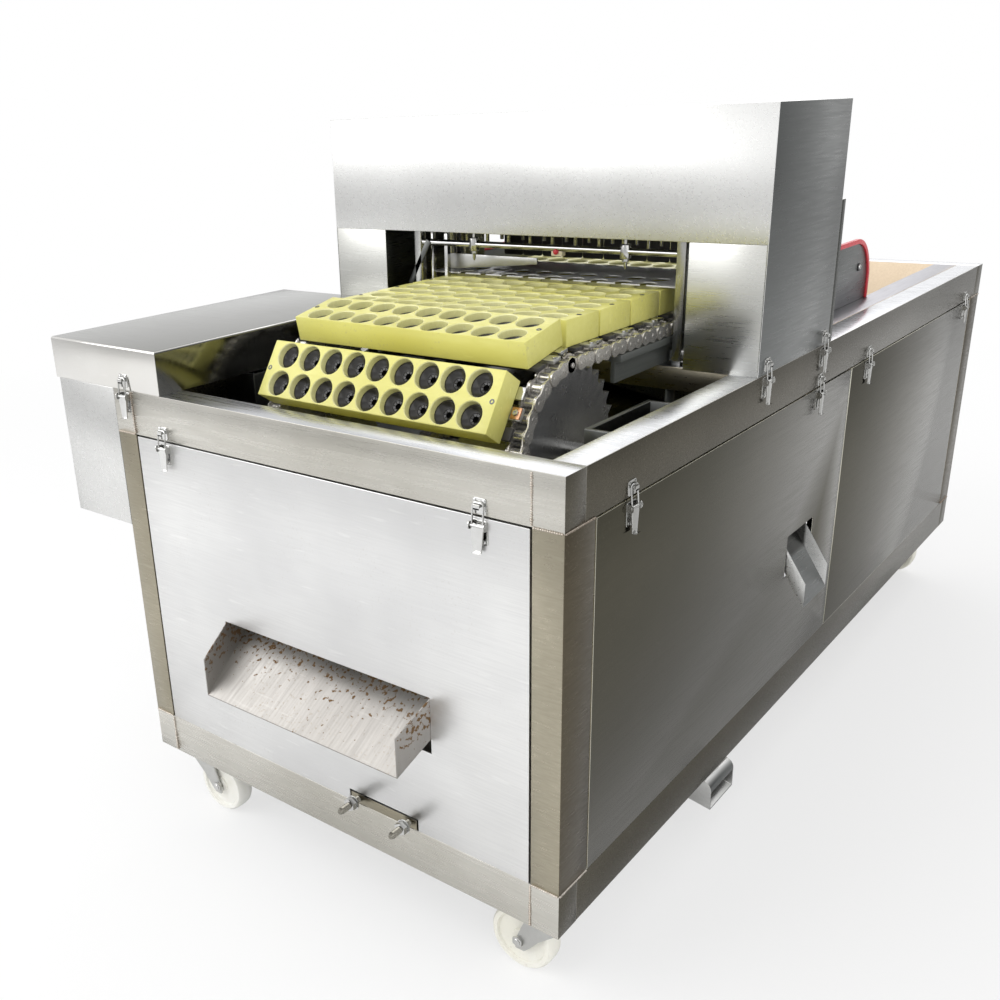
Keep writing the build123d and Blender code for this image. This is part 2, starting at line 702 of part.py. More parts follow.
def gear_outline(teeth, first):
    """Corner points of a spur gear, its first tooth at an angle from +Y towards +Z."""
    pitch = teeth * GEAR_MODULE / 2
    step = 360 / teeth
    points = []
    for i in range(teeth):
        for share, radius in (
            (-0.31, pitch - 1.25 * GEAR_MODULE),
            (-0.12, pitch + GEAR_MODULE),
            (0.12, pitch + GEAR_MODULE),
            (0.31, pitch - 1.25 * GEAR_MODULE),
        ):
            a = radians(first + (i + share) * step)
            points.append((radius * cos(a), radius * sin(a)))
    return points


def spur_gear(centre, teeth, first, bore, hub_radius):
    """A spur gear along X, with a bore and a hub on its left."""
    with BuildPart() as gear:
        prism(
            Plane.YZ.offset(GEAR_X - GEAR_WIDE / 2),
            turned_ring(centre, gear_outline(teeth, first)),
            GEAR_WIDE,
        )
        rod_x(hub_radius, (GEAR_X - 0.9 * GEAR_WIDE, GEAR_X), *centre)
        if bore:
            wall = Plane.YZ.offset(GEAR_X - GEAR_WIDE)
            rod(wall, bore, centre, 3 * GEAR_WIDE, Mode.SUBTRACT, ROD_SIDES, snug=True)
    return gear.part


def drive_pinion():
    """Pinion with the gear motor's output shaft in one piece."""
    centre = pinion_centre()
    mesh = PINION_ANGLE + 180 + 180 / PINION_TEETH
    with BuildPart() as pinion:
        add(spur_gear(centre, PINION_TEETH, mesh, 0, SHAFT_RADIUS + 6))
        rod_x(SHAFT_RADIUS, (LEFT - SIDE_BOX_REACH / 2, GEAR_X), *centre)
    return pinion.part


def gear_motor():
    """Reducer block and motor in the side box, round the pinion's shaft."""
    y, z = pinion_centre()
    x = (LEFT - SIDE_BOX_REACH + SIDE_BOX_LIP + SHEET, LEFT - SHEET - PANEL_GAP)
    half = 55.0
    floor = TOP - SIDE_BOX_DROP + SHEET
    with BuildPart() as motor:
        block((x[0] + half / 2, x[1]), (y - half, y + half), (floor, z + half))
        chamfer(motor.edges().filter_by(Axis.X), 8)
        middle = (x[0] + half / 2 + x[1]) / 2
        rod_y(half - 4, middle, (y - half - 180, y - half), z)
        rod_y(half, middle, (y - half - 185, y - half - 145), z)
        with Locations((middle, y - half - 80, z + half)):
            Box(60, 76, 36)
        rod_x(SHAFT_RADIUS + RUNNING_FIT, (x[0], x[1]), y, z, Mode.SUBTRACT)
    return motor.part


def bearing_units():
    """Flanged bearings of both shafts: an oval flange and a round housing each."""
    with BuildPart() as units:
        for shaft_y, x, side in bearing_places():
            plane = Plane.YZ.offset(x)
            with BuildSketch(plane):
                with Locations((shaft_y, SHAFT_Z)):
                    RegularPolygon(38, ROD_SIDES)
                    with Locations((45, 0), (-45, 0)):
                        RegularPolygon(16, SMALL_SIDES)
                    Rectangle(90, 32)
            extrude(amount=-side * 12)
            rod_x(33, tuple(sorted((x, x - side * 30))), shaft_y, SHAFT_Z)
            rod_x(
                SHAFT_RADIUS + RUNNING_FIT, (x - 60, x + 60), shaft_y, SHAFT_Z, Mode.SUBTRACT
            )
    return units.part


def bearing_places():
    """Shaft Y, inner face of the bracket and outward side of each bearing."""
    right = CONVEYOR_X + SHAFT_REACH_RIGHT - BRACKET_SHEET
    left = CONVEYOR_X - SHAFT_REACH_REAR_LEFT + BRACKET_SHEET
    return [(y, x, side) for y in (FRONT_SHAFT_Y, REAR_SHAFT_Y) for x, side in ((right, 1), (left, -1))]


def bearing_brackets():
    """Plates that hold the bearings, each with two webs to the frame's side rail."""
    with BuildPart() as brackets:
        for shaft_y, x, side in bearing_places():
            wall = RAIL_INSIDE[1] if side > 0 else RAIL_INSIDE[0]
            z = (SHAFT_Z - BRACKET_DROP, TOP - 2 * PANEL_GAP)
            web_z = (TOP - RAIL_TALL, z[1])
            half = BRACKET_WIDE / 2
            block(sorted((x, x + side * BRACKET_SHEET)), (shaft_y - half, shaft_y + half), z)
            for y in (shaft_y - half, shaft_y + half - BRACKET_SHEET):
                block(sorted((x, wall)), (y, y + BRACKET_SHEET), web_z)
            rod_x(SHAFT_RADIUS + 4, (x - 20, x + 20), shaft_y, SHAFT_Z, Mode.SUBTRACT)
    return brackets.part


def chain_guides():
    """Bars that the chains slide on: upper ones on the cross beams, lower ones hung from them."""
    top = SHAFT_Z + PITCH_RADIUS - PLATE_TALL / 2 - SLIDING_GAP
    reach = PITCH_RADIUS + 2 * ROLLER_RADIUS
    y = (FRONT_SHAFT_Y + reach, REAR_SHAFT_Y - reach)
    with BuildPart() as guides:
        for chain_x in CHAIN_XS:
            block((chain_x - 4, chain_x + 4), y, (BEAM_TOP, top))
            block((chain_x - CHAIN_HALF, chain_x + CHAIN_HALF), y, (top - 12, top))
        low = SHAFT_Z - PITCH_RADIUS - PLATE_TALL / 2 - SLIDING_GAP
        for side, chain_x in zip((-1, 1), CHAIN_XS):
            hanger = sorted((chain_x + side * (CHAIN_HALF + 2), chain_x + side * (CHAIN_HALF + 6)))
            inner = chain_x + side * (LUG_OVERHANG + 3)
            block(sorted((inner, hanger[0 if side < 0 else 1])), y, (low - 12, low))
            for back in (BEAMS_BACK[0], *BEAMS_BACK[2:]):
                hanger_y = (FRONT + back - HANGER_WIDE / 2, FRONT + back + HANGER_WIDE / 2)
                block(hanger, hanger_y, (low - 12, BEAM_TOP - BEAM_SIZE))
    return guides.part


# ================================================================ chutes
STUD_MIDDLE = 566.0
STUD_SPREAD = 105.0
STUD_PLATE = (136.0, 18.0, 4.0)
STUD_RADIUS = 6.0
STUD_REACH = 46.0
NUT_ACROSS = 19.0
NUT_THICK = 10.0
NUT_OUT = 14.0


def chute_wide(back):
    """Width of the front chute at a distance behind the cabinet's front face."""
    return CHUTE_LIP_WIDE + CHUTE_FLARE * (CHUTE_REACH + back)


def front_chute():
    """Flared sheet channel that lets the fruit out at the front."""
    run = CHUTE_REACH + CHUTE_TAIL
    x = LEFT + CHUTE_MIDDLE
    lip_z = BASE + CHUTE_LIP_FLOOR
    tail_z = lip_z + run * tan(radians(CHUTE_SLOPE))
    lip = Plane.XZ.offset(-(FRONT - CHUTE_REACH))
    tail = Plane.XZ.offset(-(FRONT + CHUTE_TAIL))
    with BuildPart() as chute:
        for wall, mode in ((0.0, Mode.ADD), (SHEET, Mode.SUBTRACT)):
            for plane, wide, z in (
                (lip, CHUTE_LIP_WIDE, lip_z),
                (tail, chute_wide(CHUTE_TAIL), tail_z),
            ):
                with BuildSketch(plane):
                    with Locations((x, z + wall)):
                        Rectangle(
                            wide - 2 * wall, CHUTE_TALL, align=(Align.CENTER, Align.MIN)
                        )
            loft(ruled=True, mode=mode)
    return chute.part


def pit_line(x):
    """Height of the pit chute's underside at an X."""
    return BASE + PIT_LIP_FLOOR + (RIGHT + PIT_CHUTE_REACH - x) * tan(radians(PIT_CHUTE_SLOPE))


def pit_chute():
    """Pit trough under the punch head and its steep chute out of the right side."""
    y = (FRONT + PIT_CHUTE_START, FRONT + PIT_CHUTE_START + PIT_CHUTE_WIDE)
    trough_y = (FRONT + TROUGH_START, y[1])
    start, end = CONVEYOR_X - TROUGH_REACH[0], CONVEYOR_X + TROUGH_REACH[1]
    left_z, right_z = BASE + TROUGH_FLOORS[0], BASE + TROUGH_FLOORS[1]
    lip = RIGHT + PIT_CHUTE_REACH
    drop = SHEET / cos(radians(PIT_CHUTE_SLOPE))

    def trough_side(wall):
        """Corners of the trough's side view, or of its hollow's."""
        return [
            (start + wall, left_z + wall), (end - wall, right_z + wall),
            (end - wall, right_z + TROUGH_WALL + wall),
            (start + wall, left_z + TROUGH_WALL + wall),
        ]

    with BuildPart() as chute:
        prism(Plane.XZ.offset(-trough_y[0]), trough_side(0), -(trough_y[1] - trough_y[0]))
        prism(
            Plane.XZ.offset(-trough_y[0] - SHEET),
            trough_side(SHEET),
            -(trough_y[1] - trough_y[0] - 2 * SHEET),
            Mode.SUBTRACT,
        )
        prism(
            Plane.XZ.offset(-y[0]),
            [
                (end - SHEET, right_z), (end - SHEET, right_z + PIT_CHUTE_TALL * 0.6),
                (end + 8, right_z + PIT_CHUTE_TALL * 0.6),
                (lip, pit_line(lip) + PIT_CHUTE_TALL), (lip, pit_line(lip)),
            ],
            -(y[1] - y[0]),
        )
        prism(
            Plane.XZ.offset(-y[0] - SHEET),
            [
                (end - 2 * SHEET, right_z + SHEET), (end - 2 * SHEET, right_z + PIT_CHUTE_TALL),
                (end + 8, right_z + PIT_CHUTE_TALL), (lip, pit_line(lip) + 2 * PIT_CHUTE_TALL),
                (lip, pit_line(lip) + drop), (end, right_z + SHEET),
            ],
            -(y[1] - y[0] - 2 * SHEET),
            Mode.SUBTRACT,
        )
        hanger_y = (FRONT + BEAMS_BACK[1] - HANGER_WIDE / 2, FRONT + BEAMS_BACK[1] + HANGER_WIDE / 2)
        block((start, start + SHEET), hanger_y, (left_z + TROUGH_WALL - SHEET, BEAM_TOP - BEAM_SIZE))
        block((end - SHEET, end), hanger_y, (right_z + TROUGH_WALL - SHEET, BEAM_TOP - BEAM_SIZE))
    return chute.part


def juice_tray():
    """Pan across the bottom of the cabinet, with the drain spout under the right rail."""
    x = shrunk(RAIL_INSIDE, SLIDING_GAP)
    y = (FRONT + POST_DEEP + PANEL_GAP, FRONT + PANEL_SPLIT - MID_POST)
    z = (BASE, BASE + RAIL_TALL)
    lip = 15.0
    spout_y = (FRONT + SPOUT_START, FRONT + SPOUT_START + SPOUT_WIDE)
    with BuildPart() as pan:
        block(x, y, z)
        block(shrunk(x, SHEET), shrunk(y, SHEET), (z[0] + SHEET, z[1]), Mode.SUBTRACT)
        block((x[0] - lip, x[0] + SHEET), y, (z[1], z[1] + SHEET))
        block((x[1] - SHEET, x[1] + lip), y, (z[1], z[1] + SHEET))
        for wall, mode in ((0.0, Mode.ADD), (SHEET, Mode.SUBTRACT)):
            with BuildSketch(Plane.XZ.offset(-spout_y[0] - wall)):
                with BuildLine():
                    add(spout_line(wall))
                make_face()
            extrude(amount=-(SPOUT_WIDE - 2 * wall), mode=mode)
        block(
            (RAIL_INSIDE[1] - SPOUT_INSIDE + SHEET, x[1] - SHEET - 4),
            shrunk(spout_y, 2 * SHEET),
            (BASE - SHEET, BASE + SHEET),
            Mode.SUBTRACT,
        )
    return pan.part


def spout_line(wall):
    """Side view of the spout: a curved trough that deepens to its open right end."""
    inner = RAIL_INSIDE[1] - SPOUT_INSIDE + wall
    outer = RIGHT + SPOUT_REACH
    roof = BASE if wall == 0 else BASE - SHEET
    low = BASE - SPOUT_TALL + wall
    with BuildLine() as edge:
        Polyline((outer, roof - 18), (outer, low), (outer - 30, low + 6))
        ThreePointArc((outer - 30, low + 6), (inner + 60, low + 26), (inner, roof))
        Line((inner, roof), (outer - 18, roof))
        RadiusArc((outer - 18, roof), (outer, roof - 18), 18)
    return edge.line


def adjuster_studs():
    """Clamp plate of the juice tray with its two threaded studs and hexagon nuts."""
    x = LEFT + STUD_MIDDLE
    wide, tall, thick = STUD_PLATE
    low = BASE + RAIL_TALL
    z = low + tall / 2
    with BuildPart() as studs:
        block((x - wide / 2, x + wide / 2), (FRONT, FRONT + thick), (low, low + tall))
        for stud_x in (x - STUD_SPREAD / 2, x + STUD_SPREAD / 2):
            rod_y(STUD_RADIUS, stud_x, (FRONT - STUD_REACH, FRONT), z, sides=SMALL_SIDES)
        with BuildSketch(Plane.XZ.offset(-(FRONT - NUT_OUT))):
            with Locations((x - STUD_SPREAD / 2, z), (x + STUD_SPREAD / 2, z)):
                RegularPolygon(NUT_ACROSS / 2, 6, major_radius=False)
        extrude(amount=NUT_THICK)
    return studs.part


# ================================================================ punch head
def needle_grid():
    """Pitches and counts of the needles, which are those of a tray's pockets."""
    return POCKET_PITCH, POCKET_ROW_PITCH, POCKETS_ACROSS, POCKET_ROWS


def head_levels():
    """Heights of the stripper plate, needle tips, head plate and head beam."""
    stripper = TRAY_TOP + STRIPPER_GAP
    tips = TRAY_TOP + NEEDLE_LIFT
    plate = tips + NEEDLE_LENGTH
    beam = plate + HEAD_PLATE[2] + HEAD_BEAM_LIFT
    return stripper, tips, plate, beam


def head_frame():
    """Posts and top beam of the punch head, with two guide columns."""
    stripper, _, _, beam = head_levels()
    spread_x, spread_y = HEAD_POST_SPREAD
    beam_size = (spread_x + HEAD_POST, spread_y + HEAD_POST, HEAD_BEAM_THICK)
    with BuildPart() as frame:
        with BuildSketch(Plane.XY.offset(BEAM_TOP)):
            with Locations((CONVEYOR_X, HEAD_Y)):
                with GridLocations(spread_x, spread_y, 2, 2):
                    Rectangle(HEAD_POST, HEAD_POST)
        extrude(amount=beam - BEAM_TOP)
        with Locations((CONVEYOR_X, HEAD_Y, beam + HEAD_BEAM_THICK / 2)):
            Box(*beam_size)
        for x in (CONVEYOR_X - COLUMN_SPREAD / 2, CONVEYOR_X + COLUMN_SPREAD / 2):
            rod_z(COLUMN_RADIUS, x, HEAD_Y, (stripper + STRIPPER_THICK, beam))
        for x in (CONVEYOR_X - CYLINDER_SPREAD / 2, CONVEYOR_X + CYLINDER_SPREAD / 2):
            rod_z(
                ROD_RADIUS + SLIDING_GAP, x, HEAD_Y, (beam, beam + HEAD_BEAM_THICK), Mode.SUBTRACT
            )
    return frame.part


def stripper_plate():
    """Perforated plate above the trays that holds the fruit down as the needles lift."""
    stripper = head_levels()[0]
    inner = HEAD_POST_SPREAD[0] - HEAD_POST
    with BuildPart() as plate:
        with BuildSketch(Plane.XY.offset(stripper)):
            with Locations((CONVEYOR_X, HEAD_Y - STRIPPER_FRONT)):
                Rectangle(inner, STRIPPER_DEEP, align=(Align.CENTER, Align.MIN))
            with Locations((CONVEYOR_X, HEAD_Y)):
                with GridLocations(*needle_grid()):
                    RegularPolygon(POCKET_RADIUS - 4, POCKET_SIDES, mode=Mode.SUBTRACT)
        extrude(amount=STRIPPER_THICK)
    return plate.part


def needle_plate():
    """Moving plate of the punch head, on the guide columns, with the cylinders' rods."""
    _, _, low, beam = head_levels()
    high = low + HEAD_PLATE[2]
    with BuildPart() as plate:
        with Locations((CONVEYOR_X, HEAD_Y, (low + high) / 2)):
            Box(*HEAD_PLATE)
        for x in (CONVEYOR_X - COLUMN_SPREAD / 2, CONVEYOR_X + COLUMN_SPREAD / 2):
            rod_z(COLUMN_RADIUS + SLIDING_GAP, x, HEAD_Y, (low, high), Mode.SUBTRACT)
        for x in (CONVEYOR_X - CYLINDER_SPREAD / 2, CONVEYOR_X + CYLINDER_SPREAD / 2):
            rod_z(ROD_RADIUS, x, HEAD_Y, (high, beam + HEAD_BEAM_THICK + CYLINDER_TALL - 4))
    return plate.part


def needles():
    """The punch needles under the moving plate, one for each pocket of a tray."""
    _, tips, plate, _ = head_levels()
    with BuildPart() as pins:
        with BuildSketch(Plane.XY.offset(tips)):
            with Locations((CONVEYOR_X, HEAD_Y)):
                with GridLocations(*needle_grid()):
                    RegularPolygon(NEEDLE_RADIUS, 6)
        extrude(amount=plate - tips)
    return pins.part


def air_cylinders():
    """The two air cylinders on the head beam that drive the moving plate."""
    low = head_levels()[3] + HEAD_BEAM_THICK
    with BuildPart() as cylinders:
        for x in (CONVEYOR_X - CYLINDER_SPREAD / 2, CONVEYOR_X + CYLINDER_SPREAD / 2):
            rod_z(CYLINDER_RADIUS, x, HEAD_Y, (low, low + CYLINDER_TALL))
            rod_z(ROD_RADIUS + SLIDING_GAP, x, HEAD_Y, (low, low + CYLINDER_TALL - 2), Mode.SUBTRACT)
    return cylinders.part


def hood_crossbar():
    """Round bar in the tunnel mouth with two clamps and their pointed rods."""
    inner = (HEAD_POST_SPREAD[0] - HEAD_POST) / 2
    y = HEAD_Y - HEAD_POST_SPREAD[1] / 2
    z = TOP + CROSSBAR_RISE
    with BuildPart() as bar:
        rod_x(
            CROSSBAR_RADIUS, (CONVEYOR_X - inner, CONVEYOR_X + inner), y, z, sides=SMALL_SIDES
        )
        for place in CLAMP_PLACES:
            with BuildSketch(Plane.XY.offset(z - 12)):
                with Locations((CONVEYOR_X + place, y)):
                    RegularPolygon(10, 6)
            extrude(amount=24)
            rod_z(3, CONVEYOR_X + place, y, (z - 30, z + 30), sides=8)
    return bar.part


# ================================================================ latches
def latch_places():
    """Name, plane on the panel and height of each latch; the plane's normal points out."""
    front = [("front_left", 123.0, 622.0), ("front_right", 763.0, 622.0), ("side_box", 33.0, 700.0)]
    right = [
        ("tower_front", 613.0, 700.0), ("tower_rear", 873.0, 700.0),
        ("side_panel_1", 169.0, 622.0), ("side_panel_2", 874.0, 622.0),
        ("side_panel_3", 1146.0, 622.0), ("side_panel_4", 1881.0, 622.0),
    ]
    places = []
    for name, along, height in front:
        origin = (LEFT + along, FRONT, BASE + height)
        places.append((name, Plane(origin, x_dir=(1, 0, 0), z_dir=(0, -1, 0))))
    for name, along, height in right:
        origin = (RIGHT, FRONT + along, BASE + height)
        places.append((name, Plane(origin, x_dir=(0, 1, 0), z_dir=(1, 0, 0))))
    return places


def plane_block(plane, x, y, z, mode=Mode.ADD):
    """Add a block in a latch's own axes: X along the wall, Y up the wall, Z outwards."""
    corners = [(x[0], y[0]), (x[1], y[0]), (x[1], y[1]), (x[0], y[1])]
    prism(plane.offset(z[0]), corners, z[1] - z[0], mode)


def latch_bodies():
    """Base plates with pivot ears, and the catch plates with hook and wire bail."""
    half = LATCH_WIDE / 2
    ear, sheet = 2.0, 1.5
    hook_wide, hook_low, hook_high, hook_out = HOOK
    with BuildPart() as bodies:
        for _, plane in latch_places():
            plane_block(plane, (-half, half), (10 - LATCH_BELOW, -3), (0, sheet))
            plane_block(plane, (2 - half, half - 2), (5, LATCH_ABOVE), (0, sheet))
            plane_block(plane, (-hook_wide / 2, hook_wide / 2), (hook_low, hook_high), (sheet, hook_out))
            wire = (BAIL_WIRE, 2 * BAIL_WIRE)
            plane_block(plane, (3 - half, half - 3), (hook_high, hook_high + BAIL_WIRE), wire)
            for side in (-1, 1):
                plane_block(
                    plane, sorted((side * (half - ear), side * half)),
                    (-PIVOT_DROP - 6, -PIVOT_DROP + 5), (sheet, PIVOT_OUT + 4),
                )
                plane_block(
                    plane, sorted((side * (half - 6), side * (half - 3))),
                    (4 - PIVOT_DROP, hook_high), wire,
                )
    return bodies.part


def latch_lever(plane):
    """Tapered lever with a curled lip, between the ears of its base plate."""
    root = LATCH_WIDE / 2 - 2.0 - SLIDING_GAP
    tip = LEVER_TIP_WIDE / 2
    top, waist, low = 3 - PIVOT_DROP, -8 - PIVOT_DROP, -LATCH_BELOW
    corners = [(-root, top), (-root, waist), (-tip, low), (tip, low), (root, waist), (root, top)]
    with BuildPart() as lever:
        prism(plane.offset(PIVOT_OUT - 2), corners, LEVER_SHEET)
        plane_block(plane, (-tip, tip), (low, low + LEVER_SHEET), (PIVOT_OUT, PIVOT_OUT + 6))
    return lever.part


# ================================================================ casters
def caster_places():
    """Name, pivot X and Y, and the side to which the wheel trails, of each caster."""
    return [
        (f"{end}_{side}", CENTRE_X - trail * (FRAME_WIDTH / 2 - CASTER_INSET), y, trail)
        for end, y in (("front", FRONT + CASTER_INSET + 8), ("rear", BACK - CASTER_INSET - 8))
        for side, trail in (("left", 1), ("right", -1))
    ]


def caster_plates():
    """Mounting plates under the frame, each with the upper race of its swivel."""
    plate_z = (BASE - CASTER_PLATE_THICK, BASE)
    half = CASTER_PLATE / 2
    with BuildPart() as plates:
        for _, x, y, _ in caster_places():
            block((x - half, x + half), (y - half, y + half), plate_z)
            rod_z(RACE_RADIUS, x, y, (plate_z[0] - RACE_TALL, plate_z[0]))
    return plates.part


def caster_fork(x, y, trail):
    """Swivelling fork: crown, two tapered legs and the wheel's axle."""
    top = BASE - CASTER_PLATE_THICK - RACE_TALL - SLIDING_GAP
    inner = WHEEL_WIDE / 2 + FORK_GAP
    outer = inner + FORK_SHEET
    axle_x, axle_z = x + trail * CASTER_TRAIL, WHEEL_RADIUS
    crown = top - FORK_SHEET
    with BuildPart() as fork:
        block((x - RACE_RADIUS, x + RACE_RADIUS), (y - outer, y + outer), (crown, top))
        for side in (-1, 1):
            low_y = min(side * inner, side * outer)
            leg = [
                (x - RACE_RADIUS, top), (x + RACE_RADIUS, top), (axle_x + 13, axle_z + 4),
                (axle_x + 8, axle_z - 12), (axle_x - 8, axle_z - 12), (axle_x - 13, axle_z + 4),
            ]
            prism(Plane.XZ.offset(-y - low_y), leg, -FORK_SHEET)
        rod_y(AXLE_RADIUS, axle_x, (y - outer - 6, y + outer + 6), axle_z, sides=SMALL_SIDES)
    return fork.part


def caster_wheel(x, y, trail):
    """Nylon disc wheel with a bore for the axle."""
    axle_x, width = x + trail * CASTER_TRAIL, (y - WHEEL_WIDE / 2, y + WHEEL_WIDE / 2)
    with BuildPart() as wheel:
        rod_y(WHEEL_RADIUS, axle_x, width, WHEEL_RADIUS, sides=WHEEL_SIDES)
        rod_y(AXLE_RADIUS + RUNNING_FIT, axle_x, width, WHEEL_RADIUS, Mode.SUBTRACT, SMALL_SIDES)
    return wheel.part


# ================================================================ build and write
keep(frame_posts(), "frame_posts")
keep(cross_rails(), "cross_rails")
keep(side_rails(), "side_rails")
keep(cross_beams(), "cross_beams")
keep(front_panel(), "front_panel")
SPLIT_Y = FRONT + PANEL_SPLIT
PIT_SLOT_Y = (FRONT + PIT_CHUTE_START - 6, FRONT + PIT_CHUTE_START + PIT_CHUTE_WIDE + 6)
PIT_SLOT_Z = (pit_line(RIGHT) - 1, pit_line(RIGHT - PANEL_FOLD) + PIT_CHUTE_TALL + 16)
keep(
    side_panel((FRONT + POST_DEEP + PANEL_GAP, SPLIT_Y - PANEL_GAP), (PIT_SLOT_Y, PIT_SLOT_Z)),
    "right_front_panel",
)
keep(side_panel((SPLIT_Y + PANEL_GAP, BACK - POST_DEEP - PANEL_GAP)), "right_rear_panel")
keep(fixed_panels(), "fixed_panels")
keep(side_box(), "side_box")
keep(side_box_lid(), "side_box_lid")
keep(hood_shell(), "hood_shell")
keep(pillar_covers(), "pillar_covers")
keep(hopper(), "hopper")
keep(hopper_guards(), "hopper_guards")
keep(guard_trim(), "guard_trim")

VIEW_TRAYS = range(POCKET_TRAYS)
keep(tray_set([upper_place(d) for d in UPPER_TRAYS], VIEW_TRAYS), "upper_trays")
keep(tray_set([lower_place(d) for d in LOWER_TRAYS], ()), "lower_trays")
keep(tray_set([arc_place(FRONT_SHAFT_Y, a) for a in FRONT_ARC_TRAYS], (0, 1)), "front_trays")
keep(tray_set([arc_place(REAR_SHAFT_Y, a) for a in REAR_ARC_TRAYS], ()), "rear_trays")
RUN = (STRAND_GAP, SHAFT_SPACING - STRAND_GAP)
keep(straight_chain(upper_place, RUN, UPPER_TRAYS, ROLLER_LINKS[0]), "upper_chains")
keep(straight_chain(lower_place, RUN, LOWER_TRAYS, 0), "lower_chains")
keep(arc_chain(FRONT_SHAFT_Y, 1, FRONT_ARC_TRAYS, ROLLER_LINKS[1]), "front_chains")
keep(arc_chain(REAR_SHAFT_Y, -1, REAR_ARC_TRAYS, 0), "rear_chains")
keep(conveyor_shaft(FRONT_SHAFT_Y, SHAFT_REACH_FRONT_LEFT), "front_shaft")
keep(conveyor_shaft(REAR_SHAFT_Y, SHAFT_REACH_REAR_LEFT), "rear_shaft")
keep(
    spur_gear((FRONT_SHAFT_Y, SHAFT_Z), GEAR_TEETH, PINION_ANGLE, SHAFT_RADIUS, HUB_RADIUS),
    "drive_gear",
)
keep(drive_pinion(), "drive_pinion")
keep(gear_motor(), "gear_motor")
keep(bearing_units(), "bearing_units")
keep(bearing_brackets(), "bearing_brackets")
keep(chain_guides(), "chain_guides")

keep(front_chute(), "front_chute")
keep(pit_chute(), "pit_chute")
keep(juice_tray(), "juice_tray")
keep(adjuster_studs(), "adjuster_studs")

keep(head_frame(), "head_frame")
keep(stripper_plate(), "stripper_plate")
keep(needle_plate(), "needle_plate")
keep(needles(), "needles")
keep(air_cylinders(), "air_cylinders")
keep(hood_crossbar(), "hood_crossbar")

keep(latch_bodies(), "latch_bodies")
for latch_name, latch_plane in latch_places():
    keep(latch_lever(latch_plane), f"latch_lever_{latch_name}")

keep(caster_plates(), "caster_plates")
for caster_name, caster_x, caster_y, caster_trail in caster_places():
    keep(caster_fork(caster_x, caster_y, caster_trail), f"caster_fork_{caster_name}")
    keep(caster_wheel(caster_x, caster_y, caster_trail), f"caster_wheel_{caster_name}")
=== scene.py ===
"""Looks of a cherry pitting machine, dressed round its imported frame.

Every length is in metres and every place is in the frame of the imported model: the floor is
z = 0, the front faces -Y and the side box is on -X.
"""

from __future__ import annotations

import json
import logging
import math
import random
from dataclasses import dataclass, field
from enum import Enum
from functools import cache
from typing import Callable, Iterable, Sequence

import bpy
from mathutils import Matrix, Vector

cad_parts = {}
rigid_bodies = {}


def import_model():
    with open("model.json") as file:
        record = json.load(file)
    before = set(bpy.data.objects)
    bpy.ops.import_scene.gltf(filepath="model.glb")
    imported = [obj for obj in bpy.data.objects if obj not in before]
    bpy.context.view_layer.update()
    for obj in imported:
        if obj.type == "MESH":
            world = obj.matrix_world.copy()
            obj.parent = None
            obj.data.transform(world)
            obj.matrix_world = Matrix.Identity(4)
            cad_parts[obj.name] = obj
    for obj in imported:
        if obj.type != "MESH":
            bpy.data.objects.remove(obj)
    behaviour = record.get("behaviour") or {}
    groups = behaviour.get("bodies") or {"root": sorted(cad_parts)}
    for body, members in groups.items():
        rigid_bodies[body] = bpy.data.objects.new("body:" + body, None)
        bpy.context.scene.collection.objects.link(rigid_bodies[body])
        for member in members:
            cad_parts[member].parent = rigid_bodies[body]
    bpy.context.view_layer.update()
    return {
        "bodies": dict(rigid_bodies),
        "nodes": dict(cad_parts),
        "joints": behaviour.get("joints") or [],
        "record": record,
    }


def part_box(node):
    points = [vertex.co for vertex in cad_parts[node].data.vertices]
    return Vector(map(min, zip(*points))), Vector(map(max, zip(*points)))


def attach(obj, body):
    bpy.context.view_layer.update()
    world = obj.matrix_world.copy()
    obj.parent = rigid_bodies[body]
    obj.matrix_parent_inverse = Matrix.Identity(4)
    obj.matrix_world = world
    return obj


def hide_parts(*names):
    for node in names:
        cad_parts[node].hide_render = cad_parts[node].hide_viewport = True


LOG = logging.getLogger("pitting_machine")
MM = 0.001

Object = bpy.types.Object
Tree = bpy.types.NodeTree
Node = bpy.types.Node
Socket = bpy.types.NodeSocket
Test = Callable[[Vector, Vector], bool]
Point = tuple[float, float, float]
Colour = tuple[float, float, float]
Span = tuple[float, float]
SIDES = (-1, 1)
ALONG = 0.9  # a direction with more than this share of an axis runs along it
ACROSS = 0.1  # a direction with less than this share of an axis runs across it


class Pick(Enum):
    """Kind of mesh element that a selection works on."""

    VERT = "VERT"
    EDGE = "EDGE"
    FACE = "FACE"


class Axis(Enum):
    """Axis that a round piece lies along, as turns of a primitive that stands on Z."""

    X = (0.0, math.pi / 2, 0.0)
    Y = (math.pi / 2, 0.0, 0.0)
    Z = (0.0, 0.0, 0.0)


class Body(Enum):
    """Bodies of the frame; latches and casters name their own."""

    CABINET = "cabinet"
    FRONT = "front_drive"
    REAR = "rear_drive"
    UPPER = "upper_strand"
    LOWER = "lower_strand"
    PUNCH = "punch_head"


